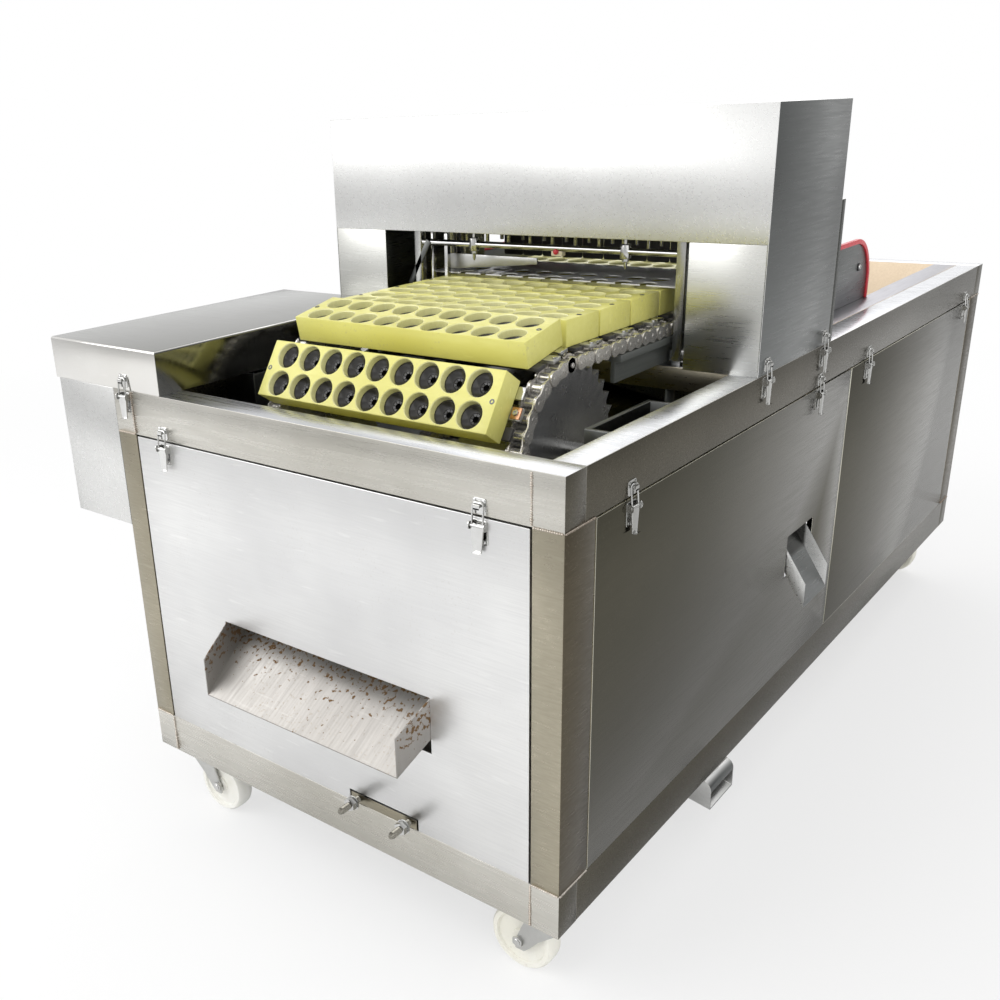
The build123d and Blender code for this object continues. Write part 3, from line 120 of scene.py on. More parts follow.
# ---------------------------------------------------------------- workbench
class Bench:
    """Primitives, edit-mode selections and operators, as they are used by hand."""

    @staticmethod
    def clear() -> None:
        """Leave edit mode and deselect everything."""
        if bpy.context.mode != "OBJECT":
            bpy.ops.object.mode_set(mode="OBJECT")
        bpy.ops.object.select_all(action="DESELECT")

    @staticmethod
    def only(piece: Object) -> Object:
        """Make one piece the selected and active one.

        Args:
            piece: The piece to work on.

        Returns:
            The piece.
        """
        Bench.clear()
        piece.select_set(True)
        bpy.context.view_layer.objects.active = piece
        return piece

    @staticmethod
    def settle(piece: Object) -> Object:
        """Put a new piece's place into its mesh.

        Args:
            piece: The piece, placed by its object.

        Returns:
            The piece, its object at the origin.
        """
        Bench.only(piece)
        bpy.ops.object.transform_apply(location=True, rotation=True, scale=True)
        return piece

    @staticmethod
    def cube(size: Point, at: Point) -> Object:
        """Add a block.

        Args:
            size: Its lengths along the axes.
            at: Its middle.

        Returns:
            The new piece.
        """
        Bench.clear()
        bpy.ops.mesh.primitive_cube_add(size=1.0, location=at, scale=size)
        return Bench.settle(bpy.context.active_object)

    @staticmethod
    def cylinder(
        radius: float,
        depth: float,
        at: Point = (0.0, 0.0, 0.0),
        axis: Axis = Axis.Z,
        sides: int = 24,
    ) -> Object:
        """Add a round bar.

        Args:
            radius: Radius to its corners.
            depth: Its length.
            at: Its middle.
            axis: Axis that it lies along.
            sides: Corners of its ends.

        Returns:
            The new piece.
        """
        Bench.clear()
        bpy.ops.mesh.primitive_cylinder_add(
            vertices=sides, radius=radius, depth=depth, location=at, rotation=axis.value
        )
        return Bench.settle(bpy.context.active_object)

    @staticmethod
    def turned(profile: Sequence[Span], sides: int = 24, closed: bool = True) -> Object:
        """Turn a piece round Z by extruding a circle from ring to ring.

        Args:
            profile: Radius and height of each ring, from the first to the last.
            sides: Corners of each ring.
            closed: Whether the first and the last ring are capped.

        Returns:
            The new piece, its axis on the origin.
        """
        Bench.clear()
        radius, height = profile[0]
        bpy.ops.mesh.primitive_circle_add(
            vertices=sides,
            radius=radius,
            fill_type="NGON" if closed else "NOTHING",
            location=(0.0, 0.0, height),
        )
        piece = Bench.settle(bpy.context.active_object)
        bpy.ops.object.mode_set(mode="EDIT")
        bpy.ops.mesh.select_mode(type="FACE" if closed else "EDGE")
        bpy.ops.mesh.select_all(action="SELECT")
        for next_radius, next_height in profile[1:]:
            Bench.extrude((0.0, 0.0, next_height - height))
            share = next_radius / radius
            Bench.resize((share, share, 1.0), (0.0, 0.0, next_height))
            radius, height = next_radius, next_height
        bpy.ops.mesh.select_all(action="SELECT")
        bpy.ops.mesh.normals_make_consistent(inside=False)
        Bench.clear()
        return piece

    @staticmethod
    def pick(piece: Object, kind: Pick, test: Test) -> None:
        """Open a piece for editing with the elements selected that pass a test.

        Args:
            piece: The piece to edit.
            kind: Kind of element that is tested.
            test: Takes an element's middle and its normal (an edge's direction).
        """
        Bench.only(piece)
        bpy.ops.object.mode_set(mode="EDIT")
        bpy.ops.mesh.select_mode(type=kind.value)
        bpy.ops.mesh.select_all(action="DESELECT")
        bpy.ops.object.mode_set(mode="OBJECT")
        mesh = piece.data
        if kind is Pick.FACE:
            for face in mesh.polygons:
                face.select = test(face.center, face.normal)
        elif kind is Pick.VERT:
            for vert in mesh.vertices:
                vert.select = test(vert.co, vert.normal)
        else:
            for edge in mesh.edges:
                first, last = (mesh.vertices[i].co for i in edge.vertices)
                edge.select = test((first + last) / 2, (last - first).normalized())
        bpy.ops.object.mode_set(mode="EDIT")

    @staticmethod
    def bevel(piece: Object, width: float, segments: int = 2, test: Test | None = None) -> Object:
        """Round the edges that pass a test, or all of them.

        Args:
            piece: The piece to round.
            width: Width of the rounding.
            segments: Steps of the rounding.
            test: Takes an edge's middle and its direction.

        Returns:
            The piece.
        """
        Bench.pick(piece, Pick.EDGE, test or (lambda middle, along: True))
        bpy.ops.mesh.bevel(offset=width, segments=segments, affect="EDGES")
        Bench.clear()
        return piece

    @staticmethod
    def resize(value: Point, centre: Point = (0.0, 0.0, 0.0)) -> None:
        """Scale what is selected in edit mode about a point."""
        bpy.ops.transform.resize(value=value, center_override=centre)

    @staticmethod
    def extrude(way: Point) -> None:
        """Extrude what is selected in edit mode along a way."""
        bpy.ops.mesh.extrude_region_move(TRANSFORM_OT_translate={"value": way})

    @staticmethod
    def modify(piece: Object, kind: str, **values: object) -> Object:
        """Add a modifier and apply it.

        Args:
            piece: The piece to change.
            kind: Kind of the modifier.
            **values: Its settings.

        Returns:
            The piece.
        """
        Bench.only(piece)
        modifier = piece.modifiers.new(kind.title(), kind)
        for key, value in values.items():
            setattr(modifier, key, value)
        bpy.ops.object.modifier_apply(modifier=modifier.name)
        return piece

    @staticmethod
    def copy(piece: Object, place: Matrix) -> Object:
        """Copy a piece with a mesh of its own.

        Args:
            piece: The piece to copy.
            place: Matrix that moves the copy's mesh.

        Returns:
            The copy.
        """
        twin = piece.copy()
        twin.data = piece.data.copy()
        twin.data.transform(place)
        bpy.context.collection.objects.link(twin)
        return twin

    @staticmethod
    def remove(pieces: Iterable[Object]) -> None:
        """Delete patterns that were only copied."""
        for piece in pieces:
            bpy.data.objects.remove(piece, do_unlink=True)

    @staticmethod
    def join(pieces: Sequence[Object]) -> Object:
        """Join pieces into the first one.

        Args:
            pieces: One piece or more.

        Returns:
            The first piece, which now holds them all.
        """
        Bench.only(pieces[0])
        for piece in pieces[1:]:
            piece.select_set(True)
        if len(pieces) > 1:
            bpy.ops.object.join()
        return pieces[0]

    @staticmethod
    def moved(piece: Object, place: Matrix) -> Object:
        """Move a piece's mesh by a matrix.

        Args:
            piece: The piece to move.
            place: The matrix.

        Returns:
            The piece.
        """
        piece.data.transform(place)
        piece.data.update()
        return piece


def at(x: float, y: float, z: float) -> Matrix:
    """Matrix that moves to a place."""
    return Matrix.Translation((x, y, z))


def turn(degrees: float, axis: str) -> Matrix:
    """Matrix that turns about an axis through the origin."""
    return Matrix.Rotation(math.radians(degrees), 4, axis)


# ---------------------------------------------------------------- finishes
class Effects:
    """Node helpers, and the node groups that several finishes share."""

    @staticmethod
    def _tree(
        name: str, inputs: Sequence[tuple[str, str, object]], outputs: Sequence[str]
    ) -> tuple[Tree, Node, Node]:
        """Start a group with its sockets.

        Args:
            name: Name of the group.
            inputs: Label, kind and first value of each input; None keeps the kind's own.
            outputs: Labels of its outputs, all of them masks or heights.

        Returns:
            The group with its input node and its output node.
        """
        tree = bpy.data.node_groups.new(name, "ShaderNodeTree")
        for label, kind, value in inputs:
            socket = tree.interface.new_socket(label, in_out="INPUT", socket_type=kind)
            if value is not None:
                socket.default_value = value
        for label in outputs:
            tree.interface.new_socket(label, in_out="OUTPUT", socket_type="NodeSocketFloat")
        return tree, tree.nodes.new("NodeGroupInput"), tree.nodes.new("NodeGroupOutput")

    @staticmethod
    def noise(tree: Tree, vector: Socket, scale: float, detail: float) -> Socket:
        """Add a noise texture.

        Args:
            tree: Tree that it goes into.
            vector: Coordinates that it reads.
            scale: Its scale, in blots a metre.
            detail: Its octaves.

        Returns:
            Its value.
        """
        node = tree.nodes.new("ShaderNodeTexNoise")
        node.inputs["Scale"].default_value = scale
        node.inputs["Detail"].default_value = detail
        tree.links.new(vector, node.inputs["Vector"])
        return node.outputs["Fac"]

    @staticmethod
    def ramp(tree: Tree, value: Socket, span: Span, goal: Span = (0.0, 1.0)) -> Socket:
        """Map a span of a value onto another span, clamped.

        Args:
            tree: Tree that the node goes into.
            value: The value.
            span: Span of the value that is mapped.
            goal: What its ends become.

        Returns:
            The mapped value.
        """
        node = tree.nodes.new("ShaderNodeMapRange")
        for key, number in zip(("From Min", "From Max", "To Min", "To Max"), (*span, *goal)):
            node.inputs[key].default_value = number
        tree.links.new(value, node.inputs["Value"])
        return node.outputs["Result"]

    @staticmethod
    def maths(tree: Tree, kind: str, first: Socket, second: Socket | float = 0.0) -> Socket:
        """Add a maths node.

        Args:
            tree: Tree that it goes into.
            kind: Its operation.
            first: Its first value.
            second: Its second value, a socket or a number.

        Returns:
            Its result.
        """
        node = tree.nodes.new("ShaderNodeMath")
        node.operation = kind
        tree.links.new(first, node.inputs[0])
        if isinstance(second, float):
            node.inputs[1].default_value = second
        else:
            tree.links.new(second, node.inputs[1])
        return node.outputs[0]

    @staticmethod
    def split(tree: Tree, vector: Socket) -> bpy.types.bpy_prop_collection:
        """Split a vector.

        Args:
            tree: Tree that the node goes into.
            vector: The vector.

        Returns:
            Sockets "X", "Y" and "Z".
        """
        node = tree.nodes.new("ShaderNodeSeparateXYZ")
        tree.links.new(vector, node.inputs[0])
        return node.outputs

    @classmethod
    @cache
    def grain(cls) -> Tree:
        """Brushed lines.

        Returns:
            Group that puts out the lines' height and a broad cloudiness.
        """
        tree, start, end = cls._tree(
            "BrushedGrain",
            [("Vector", "NodeSocketVector", None), ("Stretch", "NodeSocketVector", (1, 1, 1))],
            ["Height", "Cloud"],
        )
        stretch = tree.nodes.new("ShaderNodeVectorMath")
        stretch.operation = "MULTIPLY"
        tree.links.new(start.outputs["Vector"], stretch.inputs[0])
        tree.links.new(start.outputs["Stretch"], stretch.inputs[1])
        fine = cls.noise(tree, stretch.outputs[0], 1.0, 4.0)
        cloud = cls.noise(tree, start.outputs["Vector"], 3.2, 3.0)
        tree.links.new(fine, end.inputs["Height"])
        tree.links.new(cls.ramp(tree, cloud, (0.32, 0.68)), end.inputs["Cloud"])
        return tree

    @classmethod
    @cache
    def wear(cls) -> Tree:
        """Fine scratches and dust specks.

        Returns:
            Group that puts out a mask of each.
        """
        tree, start, end = cls._tree(
            "WearAndDust", [("Vector", "NodeSocketVector", None)], ["Scratches", "Dust"]
        )
        warp = tree.nodes.new("ShaderNodeMapping")
        warp.inputs["Rotation"].default_value = (0.5, 0.3, 0.7)
        warp.inputs["Scale"].default_value = (14.0, 160.0, 90.0)
        tree.links.new(start.outputs["Vector"], warp.inputs["Vector"])
        lines = cls.noise(tree, warp.outputs["Vector"], 1.0, 2.0)
        specks = cls.ramp(tree, cls.noise(tree, start.outputs["Vector"], 240.0, 2.0), (0.60, 0.72))
        patches = cls.ramp(tree, cls.noise(tree, start.outputs["Vector"], 9.0, 3.0), (0.45, 0.65))
        tree.links.new(cls.ramp(tree, lines, (0.66, 0.74)), end.inputs["Scratches"])
        tree.links.new(cls.maths(tree, "MULTIPLY", specks, patches), end.inputs["Dust"])
        return tree

    @classmethod
    @cache
    def sides(cls) -> Tree:
        """Masks for painted shade and reflection: where a face looks, and whether it is down inside
        the cabinet.

        Returns:
            Group that puts out masks of the faces that look right, of those that look up and
            of those inside, where the finishes paint shade and reflection.
        """
        rim_fade, floor_fade = (0.836, 0.780), (0.140, 0.150)
        walls = {"X": (0.0635, 0.434), "Y": (0.0325, 1.002)}  # middle and reach of the inside
        tree, start, end = cls._tree(
            "PaintedShadeMasks",
            [("Vector", "NodeSocketVector", None), ("Normal", "NodeSocketVector", None)],
            ["Right", "Up", "Inside"],
        )
        facing = cls.split(tree, start.outputs["Normal"])
        place = cls.split(tree, start.outputs["Vector"])
        tree.links.new(cls.ramp(tree, facing["X"], (0.5, 0.85)), end.inputs["Right"])
        tree.links.new(cls.ramp(tree, facing["Z"], (0.90, 0.985)), end.inputs["Up"])
        # inside mask for painted shade: below the rim, above the floor and within the walls
        depth = cls.maths(
            tree, "MULTIPLY", cls.ramp(tree, place["Z"], rim_fade),
            cls.ramp(tree, place["Z"], floor_fade),
        )
        for axis, (middle, reach) in walls.items():
            off = cls.maths(tree, "SUBTRACT", place[axis], middle)
            near = cls.ramp(tree, cls.maths(tree, "ABSOLUTE", off), (reach + 0.004, reach - 0.001))
            depth = cls.maths(tree, "MULTIPLY", depth, near)
        tree.links.new(depth, end.inputs["Inside"])
        return tree

    @classmethod
    @cache
    def splash(cls) -> Tree:
        """Dried juice, in blots that thin out below a level.

        Returns:
            Group that puts out the blots' mask.
        """
        tree, start, end = cls._tree(
            "JuiceSplash",
            [("Vector", "NodeSocketVector", None), ("Level", "NodeSocketFloat", 0.0),
             ("Reach", "NodeSocketFloat", 0.03)],
            ["Mask"],
        )
        height = cls.split(tree, start.outputs["Vector"])["Z"]
        blots = cls.noise(tree, start.outputs["Vector"], 130.0, 6.0)
        below = cls.maths(tree, "SUBTRACT", start.outputs["Level"], height)
        share = cls.maths(tree, "DIVIDE", below, start.outputs["Reach"])
        fade = cls.ramp(tree, share, (0.0, 1.0), (0.50, 0.68))
        over = cls.maths(tree, "SUBTRACT", blots, fade)
        tree.links.new(cls.ramp(tree, over, (0.0, 0.06)), end.inputs["Mask"])
        return tree


DUST_BROWN = (0.42, 0.36, 0.28)
JUICE_BROWN = (0.20, 0.105, 0.03)
# grey of the painted shade down inside the cabinet
INSIDE_SHADE_GREY = (0.035, 0.036, 0.032)


@dataclass(frozen=True)
class Finish:
    """A surface finish.

    Attributes:
        name: Name of its material.
        colour: Colour of the surface.
        shade: Its darker colour, in clouds and in the grain's lines.
        metallic: How much of a metal it is.
        rough: Roughness at the grain's lows and highs.
        stretch: Scale of the grain along each axis; a small number draws it out.
        relief: Strength of the grain's relief.
        dust: How much dust lies on it.
        scratches: How much its scratches show.
        coat: Weight of a clear coat.
        anisotropic: How much its gloss is drawn out.
        splash: Level and reach of dried juice.
        right: Factor for the faces that look right: painted shade, as if they mirrored the dim side
            of the room.
        up: Colour painted on the faces that look up, a painted reflection.
        inside: How much painted shade darkens the faces down inside the cabinet.
    """

    name: str
    colour: Colour
    shade: Colour
    metallic: float = 0.0
    rough: Span = (0.3, 0.45)
    stretch: Point = (60.0, 60.0, 60.0)
    relief: float = 0.1
    dust: float = 0.15
    scratches: float = 0.2
    coat: float = 0.0
    anisotropic: float = 0.0
    splash: Span | None = None
    right: Colour | None = None
    up: Colour | None = None
    inside: float = 0.0

    def material(self) -> bpy.types.Material:
        """Make the finish's material on first use.

        Returns:
            The material.
        """
        made = bpy.data.materials.get(self.name)
        if made:
            return made
        made = bpy.data.materials.new(self.name)
        made.use_nodes = True
        tree = made.node_tree
        shader = tree.nodes["Principled BSDF"]
        shader.inputs["Metallic"].default_value = self.metallic
        shader.inputs["Coat Weight"].default_value = self.coat
        shader.inputs["Coat Roughness"].default_value = 0.12
        shader.inputs["Anisotropic"].default_value = self.anisotropic
        place = tree.nodes.new("ShaderNodeTexCoord").outputs["Object"]
        grain = self._group(tree, Effects.grain(), place)
        grain.inputs["Stretch"].default_value = self.stretch
        wear = self._group(tree, Effects.wear(), place)
        scratches = Effects.maths(tree, "MULTIPLY", wear.outputs["Scratches"], self.scratches)
        dust = Effects.maths(tree, "MULTIPLY", wear.outputs["Dust"], self.dust)

        colour = self._metal(tree, grain, scratches)
        # painted shade and painted reflection, by where a face looks and how deep inside the
        # cabinet it lies
        if self.right or self.up or self.inside:
            colour = self._paint_facing_shade(tree, colour, place)
        colour = self._mix(tree, dust, colour, DUST_BROWN)
        rough = Effects.ramp(tree, grain.outputs["Height"], (0.25, 0.75), self.rough)
        rough = Effects.maths(tree, "ADD", rough, Effects.maths(tree, "MULTIPLY", dust, 0.4))
        if self.splash:
            juice = self._group(tree, Effects.splash(), place)
            for label, value in zip(("Level", "Reach"), self.splash):
                juice.inputs[label].default_value = value
            mask = Effects.maths(tree, "MULTIPLY", juice.outputs["Mask"], 0.85)
            colour = self._mix(tree, mask, colour, JUICE_BROWN)
            rough = Effects.maths(tree, "ADD", rough, Effects.maths(tree, "MULTIPLY", mask, 0.3))
        tree.links.new(colour, shader.inputs["Base Color"])
        tree.links.new(rough, shader.inputs["Roughness"])

        bump = tree.nodes.new("ShaderNodeBump")
        bump.inputs["Strength"].default_value = self.relief
        bump.inputs["Distance"].default_value = 0.6 * MM
        cuts = Effects.maths(tree, "MULTIPLY", scratches, 0.8)
        height = Effects.maths(tree, "SUBTRACT", grain.outputs["Height"], cuts)
        tree.links.new(height, bump.inputs["Height"])
        tree.links.new(bump.outputs["Normal"], shader.inputs["Normal"])
        return made

    def _metal(self, tree: Tree, grain: Node, scratches: Socket) -> Socket:
        """Colour the bare surface: clouds, the grain's lines and bright scratches.

        Args:
            tree: The material's tree.
            grain: The grain's group.
            scratches: Mask of the scratches.

        Returns:
            The colour.
        """
        colour = self._mix(tree, grain.outputs["Cloud"], self.colour, self.shade)
        lines = Effects.ramp(tree, grain.outputs["Height"], (0.3, 0.7), (0.0, 0.35))
        colour = self._mix(tree, lines, colour, self.shade)
        bright = tuple(min(1.0, 1.15 * value + 0.04) for value in self.colour)
        return self._mix(tree, scratches, colour, bright)

    def _paint_facing_shade(self, tree: Tree, colour: Socket, place: Socket) -> Socket:
        """Paint shade on the faces that look right and on those inside the cabinet, and a
        reflection's colour on those that look up.

        Args:
            tree: The material's tree.
            colour: Colour of the surface.
            place: Coordinates on the surface.

        Returns:
            The colour with its painted shade and reflection.
        """
        sides = self._group(tree, Effects.sides(), place)
        tree.links.new(place.node.outputs["Normal"], sides.inputs["Normal"])
        # painted shade on the faces that look right
        if self.right:
            colour = self._mix(tree, sides.outputs["Right"], colour, self.right, "MULTIPLY")
        # painted reflection: a colour laid on the faces that look up
        if self.up:
            share = Effects.maths(tree, "MULTIPLY", sides.outputs["Up"], 0.92)
            colour = self._mix(tree, share, colour, self.up)
        # painted shade down inside the cabinet
        if self.inside:
            share = Effects.maths(tree, "MULTIPLY", sides.outputs["Inside"], self.inside)
            colour = self._mix(tree, share, colour, INSIDE_SHADE_GREY)
        return colour

    @staticmethod
    def _group(tree: Tree, group: Tree, place: Socket) -> Node:
        """Place a shared group.

        Args:
            tree: The material's tree.
            group: The group.
            place: Coordinates on the surface.

        Returns:
            The group's node.
        """
        node = tree.nodes.new("ShaderNodeGroup")
        node.node_tree = group
        tree.links.new(place, node.inputs["Vector"])
        return node

    @staticmethod
    def _mix(
        tree: Tree, share: Socket,
        first: Socket | Colour, second: Colour, blend: str = "MIX",
    ) -> Socket:
        """Mix two colours.

        Args:
            tree: The material's tree.
            share: Mask of the second colour.
            first: First colour.
            second: Second colour.
            blend: How the second one is laid over the first.

        Returns:
            The mixed colour.
        """
        node = tree.nodes.new("ShaderNodeMix")
        node.data_type = "RGBA"
        node.blend_type = blend
        tree.links.new(share, node.inputs["Factor"])
        if isinstance(first, tuple):
            node.inputs[6].default_value = (*first, 1.0)
        else:
            tree.links.new(first, node.inputs[6])
        node.inputs[7].default_value = (*second, 1.0)
        return node.outputs[2]


# In the finishes below, right paints shade on the faces that look right, up paints a reflection's
# colour on the faces that look up, and inside paints shade on the faces down inside the cabinet.
STEEL = dict(metallic=1.0, anisotropic=0.3)
FRONT_SHEET = Finish(
    "brushed_sheet_bright", (0.82, 0.82, 0.81), (0.66, 0.66, 0.66), rough=(0.30, 0.42),
    stretch=(14.0, 14.0, 420.0), relief=0.06, inside=0.9, **STEEL,
)
# panels on the right side: painted shade darkens their faces that look right, and their rounded
# edges, left light, read as a painted highlight
SIDE_SHEET = Finish(
    "brushed_sheet_dark", (0.70, 0.68, 0.60), (0.54, 0.53, 0.455), rough=(0.16, 0.25),
    stretch=(420.0, 10.0, 420.0), relief=0.025, dust=0.08, right=(0.120, 0.115, 0.096),
    inside=0.85, **STEEL,
)
HOOD_SHEET = Finish(
    "brushed_sheet_hood", (0.76, 0.76, 0.75), (0.62, 0.62, 0.61), rough=(0.24, 0.36),
    stretch=(260.0, 12.0, 260.0), relief=0.05, dust=0.05, scratches=0.1,
    right=(0.23, 0.24, 0.24), inside=0.92, **STEEL,
)
PILLAR_SHEET = Finish(
    "brushed_sheet_pillar", (0.68, 0.68, 0.65), (0.54, 0.54, 0.51), rough=(0.24, 0.34),
    stretch=(16.0, 16.0, 420.0), relief=0.03, right=(0.085, 0.09, 0.083), inside=0.9, **STEEL,
)
# up paints the lid's top dark, a painted reflection
LID_SHEET = Finish(
    "mirror_sheet", (0.74, 0.73, 0.71), (0.64, 0.63, 0.60), rough=(0.10, 0.18),
    stretch=(16.0, 240.0, 16.0), relief=0.03, dust=0.1, right=(0.30, 0.30, 0.28),
    up=(0.155, 0.157, 0.142), **STEEL,
)
# up paints the tops of the tubes pale blue-grey, a painted reflection
TUBE = Finish(
    "satin_tube", (0.42, 0.385, 0.30), (0.27, 0.245, 0.185), rough=(0.24, 0.38),
    stretch=(40.0, 40.0, 300.0), relief=0.06, right=(0.26, 0.24, 0.21), up=(0.60, 0.61, 0.64),
    inside=0.93, **STEEL,
)
# up paints the tops of the rails pale blue-grey, a painted reflection
RAIL = Finish(
    "satin_rail", (0.68, 0.665, 0.62), (0.46, 0.445, 0.40), rough=(0.22, 0.36),
    stretch=(10.0, 300.0, 300.0), relief=0.06, right=(0.17, 0.16, 0.135), up=(0.60, 0.61, 0.64),
    inside=0.93, **STEEL,
)
WELD = Finish(
    "weld_bead", (0.78, 0.75, 0.70), (0.34, 0.26, 0.19), rough=(0.2, 0.4),
    stretch=(150.0, 150.0, 150.0), relief=0.3, right=(0.5, 0.48, 0.45), **STEEL,
)
PLATE_SHEET = Finish(
    "satin_plate", (0.84, 0.84, 0.83), (0.72, 0.72, 0.71), metallic=0.45, rough=(0.28, 0.40),
    stretch=(200.0, 20.0, 200.0), relief=0.05, dust=0.1,
)
CHUTE_SHEET = Finish(
    "splashed_sheet", (0.43, 0.415, 0.395), (0.33, 0.315, 0.295), rough=(0.42, 0.56),
    stretch=(300.0, 12.0, 12.0), relief=0.06, dust=0.5, splash=(0.432, 0.055), **STEEL,
)
# the tan colour is a painted reflection of the surroundings in the stainless sheet; up paints its
# upward faces dark blue-grey, a painted reflection
HOPPER_SHEET = Finish(
    "hopper_sheet", (0.66, 0.54, 0.40), (0.52, 0.41, 0.29), rough=(0.3, 0.42),
    stretch=(260.0, 12.0, 260.0), relief=0.05, up=(0.27, 0.275, 0.31), **STEEL,
)
CHAIN_STEEL = Finish(
    "bright_chain", (0.84, 0.83, 0.80), (0.56, 0.53, 0.48), metallic=0.75, rough=(0.16, 0.30),
    stretch=(200.0, 200.0, 200.0), relief=0.08, dust=0.25,
)
TURNED_STEEL = Finish(
    "turned_steel", (0.60, 0.60, 0.59), (0.42, 0.42, 0.41), rough=(0.18, 0.30),
    stretch=(500.0, 60.0, 60.0), relief=0.06, **STEEL,
)
GEAR_STEEL = Finish(
    "oiled_gear", (0.26, 0.31, 0.36), (0.17, 0.21, 0.25), metallic=0.25, rough=(0.2, 0.34),
    stretch=(60.0, 200.0, 200.0), relief=0.06,
)
SPROCKET_STEEL = Finish(
    "dark_wheel", (0.56, 0.56, 0.55), (0.34, 0.34, 0.34), metallic=0.8, rough=(0.20, 0.28),
    stretch=(20.0, 30.0, 30.0), relief=0.02, scratches=0.1, anisotropic=0.6,
)
DARK_STEEL = Finish(
    "dark_bracket", (0.16, 0.165, 0.16), (0.09, 0.093, 0.09), rough=(0.26, 0.40),
    stretch=(90.0, 90.0, 90.0), relief=0.08, **STEEL,
)
POLISHED = Finish(
    "polished_fittings", (0.76, 0.76, 0.75), (0.54, 0.54, 0.53), rough=(0.10, 0.20),
    stretch=(120.0, 120.0, 120.0), relief=0.03, dust=0.05, right=(0.62, 0.62, 0.60), **STEEL,
)
STUD_STEEL = Finish(
    "threaded_steel", (0.36, 0.345, 0.30), (0.22, 0.21, 0.18), rough=(0.2, 0.34),
    stretch=(300.0, 300.0, 300.0), relief=0.08, **STEEL,
)
ZINC = Finish(
    "zinc_plate", (0.62, 0.62, 0.60), (0.48, 0.48, 0.47), metallic=0.9, rough=(0.28, 0.42),
    stretch=(90.0, 90.0, 90.0), relief=0.08,
)
COPPER = Finish(
    "copper_tint", (0.72, 0.42, 0.26), (0.52, 0.28, 0.16), metallic=1.0, rough=(0.2, 0.35),
    stretch=(90.0, 90.0, 90.0), relief=0.08,
)
TRAY_PLASTIC = Finish(
    "pale_yellow_plastic", (0.80, 0.77, 0.26), (0.66, 0.62, 0.15), rough=(0.34, 0.48),
    stretch=(40.0, 120.0, 120.0), relief=0.12, dust=0.35, scratches=0.3, coat=0.1,
)
# pocket walls: paler and glossier than the tray, a painted highlight on the lit walls, with
# scratches and dust for wear
POCKET_SHEEN_PLASTIC = Finish(
    "pocket_plastic_wear_and_painted_sheen", (0.88, 0.86, 0.50), (0.74, 0.71, 0.30), rough=(0.22, 0.34),
    stretch=(120.0, 120.0, 40.0), relief=0.12, dust=0.3, scratches=0.4, coat=0.3,
)
CUP_RUBBER = Finish(
    "black_cup_rubber", (0.018, 0.018, 0.018), (0.032, 0.030, 0.028), rough=(0.12, 0.22),
    stretch=(80.0, 80.0, 80.0), relief=0.05, dust=0.04, scratches=0.0,
)
BLACK_RUBBER = Finish(
    "matt_black_rubber", (0.030, 0.030, 0.032), (0.050, 0.048, 0.046), rough=(0.42, 0.6),
    stretch=(80.0, 80.0, 80.0), relief=0.15, scratches=0.0,
)
RED_RUBBER = Finish(
    "red_edging", (0.66, 0.035, 0.05), (0.52, 0.02, 0.035), rough=(0.32, 0.46),
    stretch=(60.0, 60.0, 60.0), relief=0.1, scratches=0.05, coat=0.15,
)
GUIDE_PLASTIC = Finish(
    "dark_slide", (0.13, 0.14, 0.13), (0.085, 0.09, 0.085), rough=(0.36, 0.5),
    stretch=(200.0, 10.0, 200.0), relief=0.08,
)
MOTOR_ENAMEL = Finish(
    "grey_blue_enamel", (0.10, 0.17, 0.26), (0.07, 0.12, 0.19), rough=(0.32, 0.44),
    stretch=(160.0, 160.0, 160.0), relief=0.1, coat=0.2,
)
CASTING = Finish(
    "grey_casting", (0.30, 0.31, 0.32), (0.22, 0.23, 0.24), metallic=0.6, rough=(0.42, 0.6),
    stretch=(260.0, 260.0, 260.0), relief=0.35,
)
ANODISED = Finish(
    "anodised_tube", (0.70, 0.70, 0.71), (0.60, 0.60, 0.61), metallic=1.0, rough=(0.3, 0.4),
    stretch=(20.0, 20.0, 400.0), relief=0.05,
)
NYLON = Finish(
    "white_nylon", (0.88, 0.88, 0.86), (0.82, 0.80, 0.70), rough=(0.3, 0.44),
    stretch=(60.0, 260.0, 60.0), relief=0.1, dust=0.4, scratches=0.25, coat=0.1,
)
CREAM = Finish(
    "cream_plastic", (0.84, 0.78, 0.62), (0.76, 0.69, 0.52), rough=(0.34, 0.46),
    stretch=(120.0, 120.0, 120.0), relief=0.08,
)


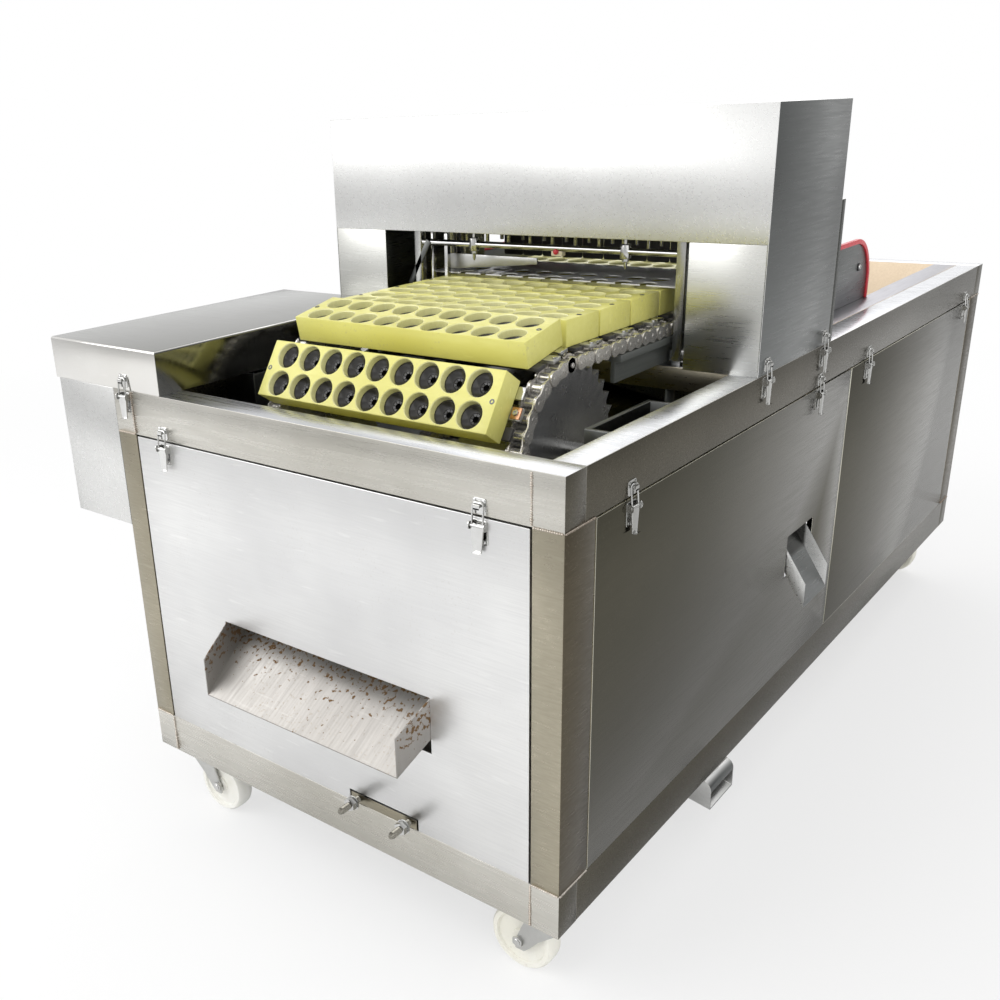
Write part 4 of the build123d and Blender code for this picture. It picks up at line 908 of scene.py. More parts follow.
class Piece:
    """Dressed parts, and the last steps of every piece of the scene."""

    @staticmethod
    def dress(part: Object, finish: Finish) -> Object:
        """Give a part of a piece its finish.

        Args:
            part: The part.
            finish: Its only finish.

        Returns:
            The part.
        """
        part.data.materials.clear()
        part.data.materials.append(finish.material())
        return part

    @staticmethod
    def block(size: Point, spot: Point, edge: float, finish: Finish, steps: int = 2) -> Object:
        """Block with all its edges rounded, in a finish."""
        return Piece.dress(Bench.bevel(Bench.cube(size, spot), edge, steps), finish)

    @staticmethod
    def hexagon(
        radius: float, depth: float, spot: Point, edge: float, steps: int = 2, axis: Axis = Axis.Z
    ) -> Object:
        """Polished nut with its edges rounded."""
        nut = Bench.cylinder(radius, depth, spot, axis, 6)
        return Piece.dress(Bench.bevel(nut, edge, steps), POLISHED)

    @staticmethod
    def turned(
        profile: Sequence[Span], sides: int, finish: Finish, place: Matrix | None = None
    ) -> Object:
        """Turn a part in a finish.

        Args:
            profile: Radius and height of each ring.
            sides: Corners of each ring.
            finish: The finish.
            place: Matrix that moves it from the Z axis to its place.

        Returns:
            The part.
        """
        part = Bench.turned(profile, sides)
        if place is not None:
            Bench.moved(part, place)
        return Piece.dress(part, finish)

    @staticmethod
    def finish(
        piece: Object, name: str, body: Body | str, slot: str,
        replaces: Sequence[str] = (), angle: float = 32.0,
    ) -> Object:
        """Name a piece, smooth it and hang it on its body.

        Args:
            piece: The finished piece, with its materials.
            name: Name of the piece.
            body: Body of the frame that it moves with.
            slot: Material slot of the record; not used.
            replaces: Nodes of the frame that it stands for.
            angle: Edges sharper than this many degrees stay crisp.

        Returns:
            The piece.
        """
        body = body.value if isinstance(body, Body) else body
        Bench.only(piece)
        bpy.ops.object.shade_smooth_by_angle(angle=math.radians(angle))
        piece.name = name
        piece.data.name = name
        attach(piece, body)
        if replaces:
            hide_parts(*replaces)
        LOG.info("%s rides on %s: %d faces", name, body, len(piece.data.polygons))
        return piece


# ---------------------------------------------------------------- rigid sheets and tubes
@dataclass
class EdgedNodes:
    """Nodes whose own shape is right: each gets a finish and edges rounded by some mm."""

    frame: dict
    gap: float = 0.00002
    flat: float = 0.5
    sharp: float = 35.0
    nodes: dict[str, tuple[Finish, float]] = field(
        default_factory=lambda: {
            "frame_posts": (TUBE, 1.6), "cross_rails": (RAIL, 1.6), "side_rails": (RAIL, 1.6),
            "cross_beams": (TUBE, 1.6), "front_panel": (FRONT_SHEET, 0.9),
            "right_front_panel": (SIDE_SHEET, 1.8), "right_rear_panel": (SIDE_SHEET, 1.8),
            "fixed_panels": (HOOD_SHEET, 0.7), "side_box": (HOOD_SHEET, 0.9),
            "side_box_lid": (LID_SHEET, 0.7), "hood_shell": (HOOD_SHEET, 0.9),
            "pillar_covers": (PILLAR_SHEET, 0.9), "hopper": (HOPPER_SHEET, 0.7),
            "hopper_guards": (HOOD_SHEET, 0.8), "guard_trim": (RED_RUBBER, 1.6),
            "front_chute": (CHUTE_SHEET, 0.7), "pit_chute": (HOOD_SHEET, 0.7),
            "juice_tray": (HOOD_SHEET, 0.7), "stripper_plate": (PLATE_SHEET, 0.4),
            "head_frame": (TURNED_STEEL, 0.8), "drive_gear": (GEAR_STEEL, 0.5),
            "drive_pinion": (GEAR_STEEL, 0.5), "gear_motor": (MOTOR_ENAMEL, 2.0),
            "bearing_brackets": (DARK_STEEL, 0.8), "chain_guides": (GUIDE_PLASTIC, 0.6),
            "air_cylinders": (ANODISED, 1.2), "caster_plates": (ZINC, 0.8),
            "needle_plate": (TURNED_STEEL, 0.8),
        }
    )

    def build(self) -> None:
        """Round the edges of a copy of each node and dress it."""
        owner = {
            node: body
            for body, nodes in self.frame["record"]["behaviour"]["bodies"].items()
            for node in nodes
        }
        slots = {row["node"]: row["material_slot"] for row in self.frame["record"]["subparts"]}
        for node, (finish, width) in self.nodes.items():
            piece = self.rounded(node, width * MM)
            Piece.dress(piece, finish)
            Piece.finish(piece, f"dressed_{node}", owner[node], slots[node], (node,))

    def rounded(self, node: str, width: float) -> Object:
        """Copy a node's mesh, merge its loose triangles and round its sharp edges.

        Args:
            node: Name of the node.
            width: Width of the rounding.

        Returns:
            The new piece.
        """
        piece = bpy.data.objects.new(node, self.frame["nodes"][node].data.copy())
        bpy.context.collection.objects.link(piece)
        Bench.only(piece)
        bpy.ops.object.mode_set(mode="EDIT")
        bpy.ops.mesh.select_mode(type="VERT")
        bpy.ops.mesh.select_all(action="SELECT")
        bpy.ops.mesh.remove_doubles(threshold=self.gap)
        bpy.ops.mesh.dissolve_limited(angle_limit=math.radians(self.flat))
        Bench.clear()
        return Bench.modify(
            piece, "BEVEL", width=width, segments=2, limit_method="ANGLE",
            angle_limit=math.radians(self.sharp), use_clamp_overlap=True,
        )


# ---------------------------------------------------------------- conveyor
@dataclass
class Conveyor:
    """Where trays, chains and shafts are: an upper and a lower run and two half rounds."""

    middle_x: float = 0.0772
    front_y: float = -0.6745
    shaft_z: float = 0.769
    link: float = 0.0254
    teeth: int = 32
    tray_links: int = 4
    strand_trays: int = 11
    round_trays: int = 4
    first_link: int = 1
    chain_offset: float = 0.245

    def __post_init__(self) -> None:
        """Work out the sizes that follow."""
        self.pitch = self.tray_links * self.link
        self.rear_y = self.front_y + self.strand_trays * self.pitch
        self.radius = self.link / (2 * math.sin(math.pi / self.teeth))
        self.step = 360.0 / self.teeth

    @staticmethod
    def body(node: str) -> Body:
        """Body of a node whose name starts with its run."""
        runs = {"upper": Body.UPPER, "lower": Body.LOWER, "front": Body.FRONT, "rear": Body.REAR}
        return runs[node.split("_")[0]]

    def upper(self, distance: float) -> Matrix:
        """Place on the upper run, a distance behind the front shaft."""
        return at(self.middle_x, self.front_y + distance, self.shaft_z + self.radius)

    def lower(self, distance: float) -> Matrix:
        """Place on the lower run, upside down."""
        low = at(self.middle_x, self.front_y + distance, self.shaft_z - self.radius)
        return low @ turn(180, "X")

    def wheel(self, shaft_y: float, angle: float) -> Matrix:
        """Place on a chain wheel, at an angle from the top towards the front."""
        return at(self.middle_x, shaft_y, self.shaft_z) @ turn(angle, "X") @ at(0, 0, self.radius)

    def tray_places(self) -> dict[str, list[Matrix]]:
        """Find the trays.

        Returns:
            Places of the trays' middles on the pitch line, for each node.
        """
        ahead, behind = self.first_link, self.tray_links - self.first_link
        run, half_round = range(self.strand_trays), range(self.round_trays)
        return {
            "upper_trays": [self.upper(behind * self.link + i * self.pitch) for i in run],
            "lower_trays": [self.lower(ahead * self.link + i * self.pitch) for i in run],
            "front_trays": [
                self.wheel(self.front_y, (ahead + self.tray_links * i) * self.step)
                for i in half_round
            ],
            "rear_trays": [
                self.wheel(self.rear_y, -(behind + self.tray_links * i) * self.step)
                for i in half_round
            ],
        }

    def pins(self) -> dict[str, tuple[list[Matrix], list[Matrix]]]:
        """Find the chains' links.

        Returns:
            Places of the pins, and of the plates between pins, for each node.
        """
        links, half = self.strand_trays * self.tray_links, self.teeth // 2
        # a plate is a chord, so its middle lies inside the pitch circle
        chord = at(0, 0, self.radius * (math.cos(math.radians(self.step / 2)) - 1))
        found = {
            node: (
                [run(i * self.link) for i in range(1, links)],
                [run((i + 0.5) * self.link) for i in range(links)],
            )
            for node, run in (("upper_chains", self.upper), ("lower_chains", self.lower))
        }
        for node, y, way in (("front_chains", self.front_y, 1), ("rear_chains", self.rear_y, -1)):
            found[node] = (
                [self.wheel(y, way * i * self.step) for i in range(half + 1)],
                [self.wheel(y, way * (i + 0.5) * self.step) @ chord for i in range(half)],
            )
        return found


@dataclass
class TraySet:
    """Pocketed carrier trays with their rubber cups and screws."""

    line: Conveyor
    length: float = 0.460
    width: float = 0.097
    height: float = 0.042
    lift: float = 0.018
    edge: float = 0.0016
    across: int = 9
    pitch: float = 0.048
    row_pitch: float = 0.0486
    pocket: float = 0.0212
    lip: float = 0.0011
    depth: float = 0.034
    screw_x: float = 0.2225
    bare: int = 4  # the upper tray behind the one under the needles has no cups

    def spots(self) -> list[Span]:
        """Find the pockets.

        Returns:
            Their middles, row by row.
        """
        return [
            ((i - (self.across - 1) / 2) * self.pitch, side * self.row_pitch / 2)
            for side in SIDES
            for i in range(self.across)
        ]

    def block(self) -> Object:
        """Model the tray's block, its edges rounded and its pockets cut.

        Returns:
            The block, its foot on z = 0 and its pocket walls in their own paler finish, a painted
            highlight.
        """
        tray = Bench.cube((self.length, self.width, self.height), (0, 0, self.height / 2))
        Bench.bevel(tray, self.edge)
        top, floor, mouth = self.height, self.height - self.depth, self.pocket + self.lip
        cutter = Bench.turned(
            [(self.pocket, floor), (self.pocket, top - 0.0014), (mouth, top - 0.0002),
             (mouth, top + 0.004)],
            32,
        )
        cutters = Bench.join([Bench.copy(cutter, at(x, y, 0)) for x, y in self.spots()])
        Bench.modify(tray, "BOOLEAN", operation="DIFFERENCE", object=cutters, solver="EXACT")
        Bench.remove([cutter, cutters])
        Piece.dress(tray, TRAY_PLASTIC)
        # the pocket walls get the paler finish, a painted highlight
        tray.data.materials.append(POCKET_SHEEN_PLASTIC.material())
        edge_x, edge_y = self.length / 2 - 0.004, self.width / 2 - 0.002

        def in_pocket(middle: Vector, normal: Vector) -> bool:
            """Whether a face is a wall inside the block's rim."""
            return abs(normal.z) < ALONG and abs(middle.x) < edge_x and abs(middle.y) < edge_y

        Bench.pick(tray, Pick.FACE, in_pocket)
        tray.active_material_index = 1
        bpy.ops.object.material_slot_assign()
        Bench.clear()
        return tray

    def cup(self) -> Object:
        """Model a rubber cup: a funnel with eight flaps round an opening, over a black disc that
        paints shade on the pocket's floor.

        Returns:
            The cup, about a pocket's axis.
        """
        funnel = Bench.turned(
            [(0.0211, 0.0275), (0.0208, 0.0300), (0.0186, 0.0300), (0.0130, 0.0248),
             (0.0095, 0.0236)],
            24, closed=False,
        )
        Bench.modify(funnel, "SOLIDIFY", thickness=0.0012, offset=-1.0)
        flaps = Bench.turned([(0.0096, 0.0236), (0.0047, 0.0224)], 8, closed=False)
        Bench.pick(flaps, Pick.FACE, lambda middle, normal: True)
        bpy.ops.mesh.inset(thickness=0.0005, use_individual=True)
        bpy.ops.mesh.select_all(action="INVERT")
        bpy.ops.mesh.delete(type="FACE")
        Bench.clear()
        Bench.modify(flaps, "SOLIDIFY", thickness=0.0011, offset=-1.0)
        # black disc over the pocket's floor: painted shade seen through the opening
        seat = Bench.turned([(0.0205, 0.0081), (0.0205, 0.0096)], 16)
        return Piece.dress(Bench.join([funnel, flaps, seat]), CUP_RUBBER)

    def screws(self) -> Object:
        """Model the countersunk socket screws at both ends of a tray.

        Returns:
            Both screws, in the block's top.
        """
        profile = [(0.0040, -0.0006), (0.0042, 0.0003), (0.0038, 0.0007), (0.0021, 0.0007),
                   (0.0019, -0.0004)]
        return Bench.join([
            Piece.turned(profile, 12, DARK_STEEL, at(side * self.screw_x, 0, self.height))
            for side in SIDES
        ])

    def build(self) -> None:
        """Copy the trays, cups and screws to their places on all four runs."""
        tray, cup, screws = self.block(), self.cup(), self.screws()
        cups = Bench.join([Bench.copy(cup, at(x, y, 0)) for x, y in self.spots()])
        for node, places in self.line.tray_places().items():
            parts = []
            for i, place in enumerate(places):
                kit = [tray, screws]
                if node != "lower_trays" and (node, i) != ("upper_trays", self.bare):
                    kit.append(cups)
                parts += [Bench.copy(part, place @ at(0, 0, self.lift)) for part in kit]
            piece = Bench.join(parts)
            Piece.finish(
                piece, f"detailed_{node}", self.line.body(node), "tray_plastic", (node,)
            )
        Bench.remove([tray, cup, screws, cups])


@dataclass
class ChainSet:
    """Roller chains with waisted plates, pins, lugs and carrier blocks."""

    line: Conveyor
    roller: float = 0.0079
    inner: float = 0.0095
    play: float = 0.0003
    plate: float = 0.0022
    plate_tall: float = 0.0236
    waist: float = 0.68
    pin: float = 0.0042
    pin_reach: float = 0.0146
    block_y: float = 0.0310

    @staticmethod
    def bar(radius: float, half: float, edge: float, sides: int) -> Object:
        """Model a round bar with chamfered ends.

        Args:
            radius: Its radius.
            half: Half its length.
            edge: How much narrower its ends are.
            sides: Corners of its ends.

        Returns:
            The bar, along Z about its middle.
        """
        rise = 0.0008
        rings = [(radius - edge, -half), (radius, rise - half), (radius, half - rise)]
        return Bench.turned([*rings, (radius - edge, half)], sides)

    def barrel(self) -> Object:
        """Model a roller with its pin.

        Returns:
            Both, along X about their middle.
        """
        roller = self.bar(self.roller, self.inner - self.play, 0.0007, 14)
        pin = self.bar(self.pin, self.pin_reach, 0.0008, 10)
        return Piece.dress(Bench.moved(Bench.join([roller, pin]), turn(90, "Y")), CHAIN_STEEL)

    def side_plate(self) -> Object:
        """Model a waisted plate, its ends rounded about the pins.

        Returns:
            The plate, along Y about its middle.
        """
        long = self.line.link + self.plate_tall * 0.92
        plate = Bench.cube((self.plate, long, self.plate_tall), (0, 0, 0))
        Bench.bevel(plate, self.plate_tall * 0.44, 4, lambda middle, along: abs(along.x) > ALONG)
        Bench.only(plate)
        bpy.ops.object.mode_set(mode="EDIT")
        bpy.ops.mesh.select_all(action="SELECT")
        bpy.ops.mesh.bisect(plane_co=(0, 0, 0), plane_no=(0, 1, 0))
        Bench.resize((1, 1, self.waist))
        Bench.clear()
        return Piece.dress(plate, CHAIN_STEEL)

    def lug(self, side: int) -> Object:
        """Model a tray lug with its bolt and two carrier blocks, under a tray's end.

        Args:
            side: -1 for the left chain, 1 for the right one.

        Returns:
            The lug, from the tray's middle on the pitch line.
        """
        chain = self.line.chain_offset
        parts = [
            Piece.block((0.040, 0.020, 0.0058), (side * (chain - 0.016), 0, 0.0150), 0.0008, ZINC),
            Piece.hexagon(0.0042, 0.0028, (side * (chain - 0.0005), 0, 0.0192), 0.0004, 1),
        ]
        for y, finish in ((-self.block_y, BLACK_RUBBER), (self.block_y, POLISHED)):
            spot = (side * (chain - 0.0125), y, 0.0148)
            parts.append(Piece.block((0.020, 0.020, 0.0062), spot, 0.0012, finish))
        return Bench.join(parts)

    def build(self) -> None:
        """Copy the links along all four runs and the lugs under the trays."""
        barrel, plate = self.barrel(), self.side_plate()
        lugs = Bench.join([self.lug(side) for side in SIDES])
        trays = self.line.tray_places()
        gaps = (self.inner + self.plate / 2, self.inner + self.plate * 1.5 + self.play)
        for node, (pins, plates) in self.line.pins().items():
            parts = []
            for chain in SIDES:
                offset = chain * self.line.chain_offset
                parts += [Bench.copy(barrel, place @ at(offset, 0, 0)) for place in pins]
                parts += [
                    Bench.copy(plate, place @ at(offset + side * gaps[i % 2], 0, 0))
                    for i, place in enumerate(plates)
                    for side in SIDES
                ]
            parts += [Bench.copy(lugs, place) for place in trays[node.replace("chains", "trays")]]
            piece = Bench.join(parts)
            Piece.finish(piece, f"roller_{node}", self.line.body(node), "chain_steel", (node,))
        Bench.remove([barrel, plate, lugs])
        self.tab()

    def tab(self) -> None:
        """Add the copper-tinted stop tab with its bolt, at the right end of the tipping tray."""
        x = self.line.chain_offset - 0.004
        tipping = self.line.wheel(self.line.front_y, (self.line.tray_links + 1) * self.line.step)
        plate = Piece.block((0.016, 0.018, 0.0030), (x, 0.0, 0.0200), 0.0007, COPPER)
        bolt = Piece.turned(
            [(0.0050, 0.0210), (0.0050, 0.0240), (0.0044, 0.0248), (0.0022, 0.0248),
             (0.0020, 0.0230)],
            6, POLISHED, at(x, 0, 0),
        )
        piece = Bench.moved(Bench.join([plate, bolt]), tipping)
        Piece.finish(piece, "copper_tab", Body.FRONT, "machined_steel")


@dataclass
class ShaftSet:
    """Both conveyor shafts with their chain wheels, hubs and flanged bearings."""

    line: Conveyor
    shaft: float = 0.0125
    seat: float = 0.0079
    play: float = 0.0003
    wheel_wide: float = 0.0175
    tooth_points: int = 6
    hub: float = 0.032
    hub_long: float = 0.034
    right_reach: float = 0.342
    front_left_reach: float = 0.385
    rear_left_reach: float = 0.342
    bracket: float = 0.008
    lobe: float = 0.045

    def wheel(self) -> Object:
        """Model a chain wheel: pulled teeth and dished faces.

        Returns:
            The wheel, along X, with a tooth gap at its top.
        """
        root = self.line.radius - self.seat - self.play
        sides = self.line.teeth * self.tooth_points
        wheel = Bench.turned([(root, -self.wheel_wide / 2), (root, self.wheel_wide / 2)], sides)
        share = sides / 360.0
        for point, rise in ((1, 0.0006), (2, 0.0070), (3, 0.0148), (4, 0.0070), (5, 0.0006)):

            def on_tooth(middle: Vector, _normal: Vector, point: int = point) -> bool:
                """Whether a corner is this point of a tooth."""
                angle = math.degrees(math.atan2(middle.y, middle.x)) % 360.0
                return round(angle * share) % self.tooth_points == point

            Bench.pick(wheel, Pick.VERT, on_tooth)
            size = (root + rise) / root
            Bench.resize((size, size, 1.0))
        Bench.pick(wheel, Pick.FACE, lambda middle, normal: abs(normal.z) > ALONG)
        bpy.ops.mesh.inset(thickness=0.004, use_individual=True)
        Bench.resize((0.8, 0.8, 0.90))
        Bench.clear()
        return Piece.dress(Bench.moved(wheel, turn(90, "Y")), SPROCKET_STEEL)

    def boss(self, side: int) -> Object:
        """Model a hub with a set screw.

        Args:
            side: Which way it points along X.

        Returns:
            The hub, its foot on x = 0.
        """
        long = self.hub_long
        boss = Piece.turned(
            [(self.hub, 0.0), (self.hub, long - 0.002), (self.hub - 0.002, long),
             (self.shaft + 0.002, long), (self.shaft + 0.001, long - 0.001)],
            36, TURNED_STEEL,
        )
        screw = Piece.turned(
            [(0.0040, 0.030), (0.0040, 0.0335), (0.0022, 0.0335), (0.0020, 0.031)],
            8, TURNED_STEEL, at(0, 0, long * 0.65) @ turn(90, "X"),
        )
        return Bench.moved(Bench.join([boss, screw]), turn(side * 90, "Y"))

    def bar(self, left: float, right: float) -> Object:
        """Model a shaft with chamfered ends and a centre hole.

        Args:
            left: Where it starts along X.
            right: Where it ends.

        Returns:
            The shaft.
        """
        edge = 0.0012
        return Piece.turned(
            [(self.shaft - edge, left), (self.shaft, left + edge), (self.shaft, right - edge),
             (self.shaft - edge, right), (0.0030, right), (0.0012, right - 0.003)],
            40, TURNED_STEEL, turn(90, "Y"),
        )

    def bearing(self, side: int) -> Object:
        """Model a flanged bearing with two bolts and a grease nipple.

        Args:
            side: Which way its flange's back points along X.

        Returns:
            The bearing, its flange's back on x = 0 and its lobes along Y.
        """
        flange = Bench.join(
            [Bench.cylinder(0.038, 0.012, (0, 0, 0.006), sides=40)]
            + [Bench.cylinder(0.016, 0.012, (end * self.lobe, 0, 0.006)) for end in SIDES]
        )
        Bench.pick(flange, Pick.VERT, lambda middle, normal: True)
        bpy.ops.mesh.convex_hull()
        Bench.clear()
        Bench.bevel(
            flange, 0.0016, 2, lambda middle, along: abs(along.z) < ACROSS and middle.z > 0.011
        )
        bore = self.shaft + self.play
        housing = Piece.turned(
            [(0.033, 0.0), (0.033, 0.022), (0.030, 0.026), (0.026, 0.026), (0.0245, 0.024),
             (0.0205, 0.024), (0.0205, 0.030), (bore, 0.030), (bore, 0.020)],
            40, CASTING,
        )
        bolt = [(0.0105, 0.0118), (0.0105, 0.0136), (0.0086, 0.0136), (0.0086, 0.0190),
                (0.0074, 0.0200), (0.0056, 0.0200), (0.0050, 0.0228), (0.0040, 0.0234)]
        nipple = Piece.turned(
            [(0.0034, 0.0), (0.0034, 0.004), (0.0022, 0.0046), (0.0026, 0.008)],
            10, POLISHED, at(0.020, 0.024, 0.016) @ turn(-40, "X"),
        )
        bolts = [Piece.turned(bolt, 6, POLISHED, at(end * self.lobe, 0, 0)) for end in SIDES]
        unit = Bench.join([Piece.dress(flange, CASTING), housing, *bolts, nipple])
        return Bench.moved(unit, turn(-side * 90, "Y") @ turn(90, "Z"))

    def build(self) -> None:
        """Place both shafts and the four bearings."""
        wheel, line = self.wheel(), self.line
        for node, shaft_y, left in (
            ("front_shaft", line.front_y, self.front_left_reach),
            ("rear_shaft", line.rear_y, self.rear_left_reach),
        ):
            parts = [self.bar(-left, self.right_reach)]
            for chain in SIDES:
                place = at(chain * line.chain_offset, 0, 0)
                parts += [Bench.copy(wheel, place), Bench.moved(self.boss(-chain), place)]
            piece = Bench.moved(Bench.join(parts), at(line.middle_x, shaft_y, line.shaft_z))
            Piece.finish(piece, f"turned_{node}", line.body(node), "machined_steel", (node,))
        x = self.right_reach - self.bracket
        units = [
            Bench.moved(self.bearing(side), at(line.middle_x + side * x, shaft_y, line.shaft_z))
            for side in (1, -1)
            for shaft_y in (line.front_y, line.rear_y)
        ]
        piece = Bench.join(units)
        Piece.finish(piece, "flanged_bearings", Body.CABINET, "bearing_iron", ("bearing_units",))
        Bench.remove([wheel])


# ---------------------------------------------------------------- latches
@dataclass
class Latches:
    """Toggle latches: base plate with ears, catch plate with hook and wire bail, lever."""

    front: dict[str, tuple[float, float]] = field(
        default_factory=lambda: {
            "front_left": (-0.2585, 0.764), "front_right": (0.3815, 0.764),
            "side_box": (-0.3485, 0.842),
        }
    )
    right: dict[str, tuple[float, float]] = field(
        default_factory=lambda: {
            "tower_front": (-0.3655, 0.842), "tower_rear": (-0.1055, 0.842),
            "side_panel_1": (-0.8095, 0.764), "side_panel_2": (-0.1045, 0.764),
            "side_panel_3": (0.1675, 0.764), "side_panel_4": (0.9025, 0.764),
        }
    )
    front_y: float = -0.9785
    right_x: float = 0.5085
    ear_x: float = 0.0121
    wire: float = 0.00135
    rivet_x: float = 0.0072

    def places(self) -> dict[str, Matrix]:
        """Find the latches.

        Returns:
            Matrix of each latch: X along the wall, Y up and Z out of it.
        """
        ahead, right = turn(90, "X"), turn(90, "Z") @ turn(90, "X")
        placed = {name: at(x, self.front_y, z) @ ahead for name, (x, z) in self.front.items()}
        for name, (y, z) in self.right.items():
            placed[name] = at(self.right_x, y, z) @ right
        return placed

    def fitting(self) -> Object:
        """Model the base plate, ears, catch plate, hook, bail and rivets.

        Returns:
            All of them, with their backs on z = 0.
        """
        plates = [
            Bench.cube((0.026, 0.035, 0.0015), (0, -0.0205, 0.00075)),
            Bench.cube((0.022, 0.022, 0.0015), (0, 0.016, 0.00075)),
        ]
        for plate in plates:
            Bench.bevel(plate, 0.0035, 3, lambda middle, along: abs(along.z) > ALONG)
            Bench.bevel(plate, 0.0004, 1, lambda middle, along: middle.z > 0.0012)
        hook = Bench.cube((0.010, 0.004, 0.0074), (0, 0.018, 0.0052))
        Bench.pick(hook, Pick.FACE, lambda middle, normal: normal.z > ALONG)
        Bench.extrude((0, -0.0035, 0.0))
        Bench.resize((0.86, 1, 1), (0, 0.016, 0.009))
        Bench.clear()
        Bench.bevel(hook, 0.0009, 2, lambda middle, along: abs(along.x) > ALONG)
        ears = [
            Bench.bevel(
                Bench.cube((0.0016, 0.011, 0.0100), (side * self.ear_x, -0.0105, 0.0062)),
                0.0040, 4, lambda middle, along: abs(along.x) > ALONG and middle.z > 0.008,
            )
            for side in SIDES
        ]
        pivot = Bench.cylinder(0.0021, 0.0262, (0, -0.010, 0.007), Axis.X, 14)
        Bench.bevel(pivot, 0.0004, 1, lambda middle, along: abs(abs(middle.x) - 0.0131) < 0.0002)
        rivet = [(0.0026, 0.0012), (0.0026, 0.0020), (0.0016, 0.0027), (0.0005, 0.0029)]
        rivets = [
            Bench.moved(Bench.turned(rivet, 12), at(side * self.rivet_x, y, 0))
            for y in (-0.0330, 0.0232)
            for side in SIDES
        ]
        parts = [*plates, hook, *ears, pivot, self.bail(), *rivets]
        return Piece.dress(Bench.join(parts), POLISHED)

    def bail(self) -> Object:
        """Model the wire bail as a round swept along its bent way.

        Returns:
            The bail, in its place on the fitting.
        """
        half = [(0.0048, 0.0216, 0.0042), (0.0078, 0.0200, 0.0042), (0.0088, 0.0160, 0.0044),
                (0.0088, -0.0080, 0.0066)]
        points = [(-x, y, z) for x, y, z in reversed(half)] + half
        curve = bpy.data.curves.new("bail", "CURVE")
        curve.dimensions = "3D"
        curve.bevel_depth = self.wire
        curve.bevel_resolution = 2
        curve.use_fill_caps = True
        spline = curve.splines.new("POLY")
        spline.points.add(len(points) - 1)
        for point, place in zip(spline.points, points):
            point.co = (*place, 1.0)
        bail = bpy.data.objects.new("bail", curve)
        bpy.context.collection.objects.link(bail)
        Bench.only(bail)
        bpy.ops.object.convert(target="MESH")
        return bpy.context.active_object

    def lever(self) -> Object:
        """Model the tapered lever with folded flanges and a curled lip.

        Returns:
            The lever, in its place over the fitting.
        """
        lever = Bench.cube((0.0212, 0.0400, 0.0018), (0, -0.0270, 0.0070))
        Bench.pick(lever, Pick.FACE, lambda middle, normal: normal.y < -ALONG)
        Bench.resize((0.62, 1, 1), (0, -0.047, 0.007))
        Bench.extrude((0, -0.0006, 0.0030))
        Bench.extrude((0, 0.0008, 0.0022))
        Bench.clear()
        Bench.bevel(
            lever, 0.0005, 2, lambda middle, along: abs(along.y) > ALONG and middle.z > 0.0075
        )
        parts = [lever]
        for side in SIDES:
            x = side * 0.0093
            flange = Bench.cube((0.0012, 0.0300, 0.0040), (x, -0.0220, 0.0056))
            Bench.pick(flange, Pick.FACE, lambda middle, normal: normal.y < -ALONG)
            Bench.resize((1, 1, 0.4), (x, -0.037, 0.0074))
            bpy.ops.transform.translate(value=(-side * 0.0022, 0, 0))
            Bench.clear()
            parts.append(Bench.bevel(flange, 0.0003, 1))
        return Piece.dress(Bench.join(parts), POLISHED)

    def build(self) -> None:
        """Place the fittings as one piece and each lever on its own body."""
        fitting, lever = self.fitting(), self.lever()
        places = self.places()
        piece = Bench.join([Bench.copy(fitting, place) for place in places.values()])
        Piece.finish(piece, "latch_fittings", Body.CABINET, "latch_steel", ("latch_bodies",))
        for name, place in places.items():
            node = f"latch_lever_{name}"
            piece = Bench.copy(lever, place)
            Piece.finish(piece, f"pressed_{node}", f"latch_{name}", "latch_steel", (node,))
        Bench.remove([fitting, lever])


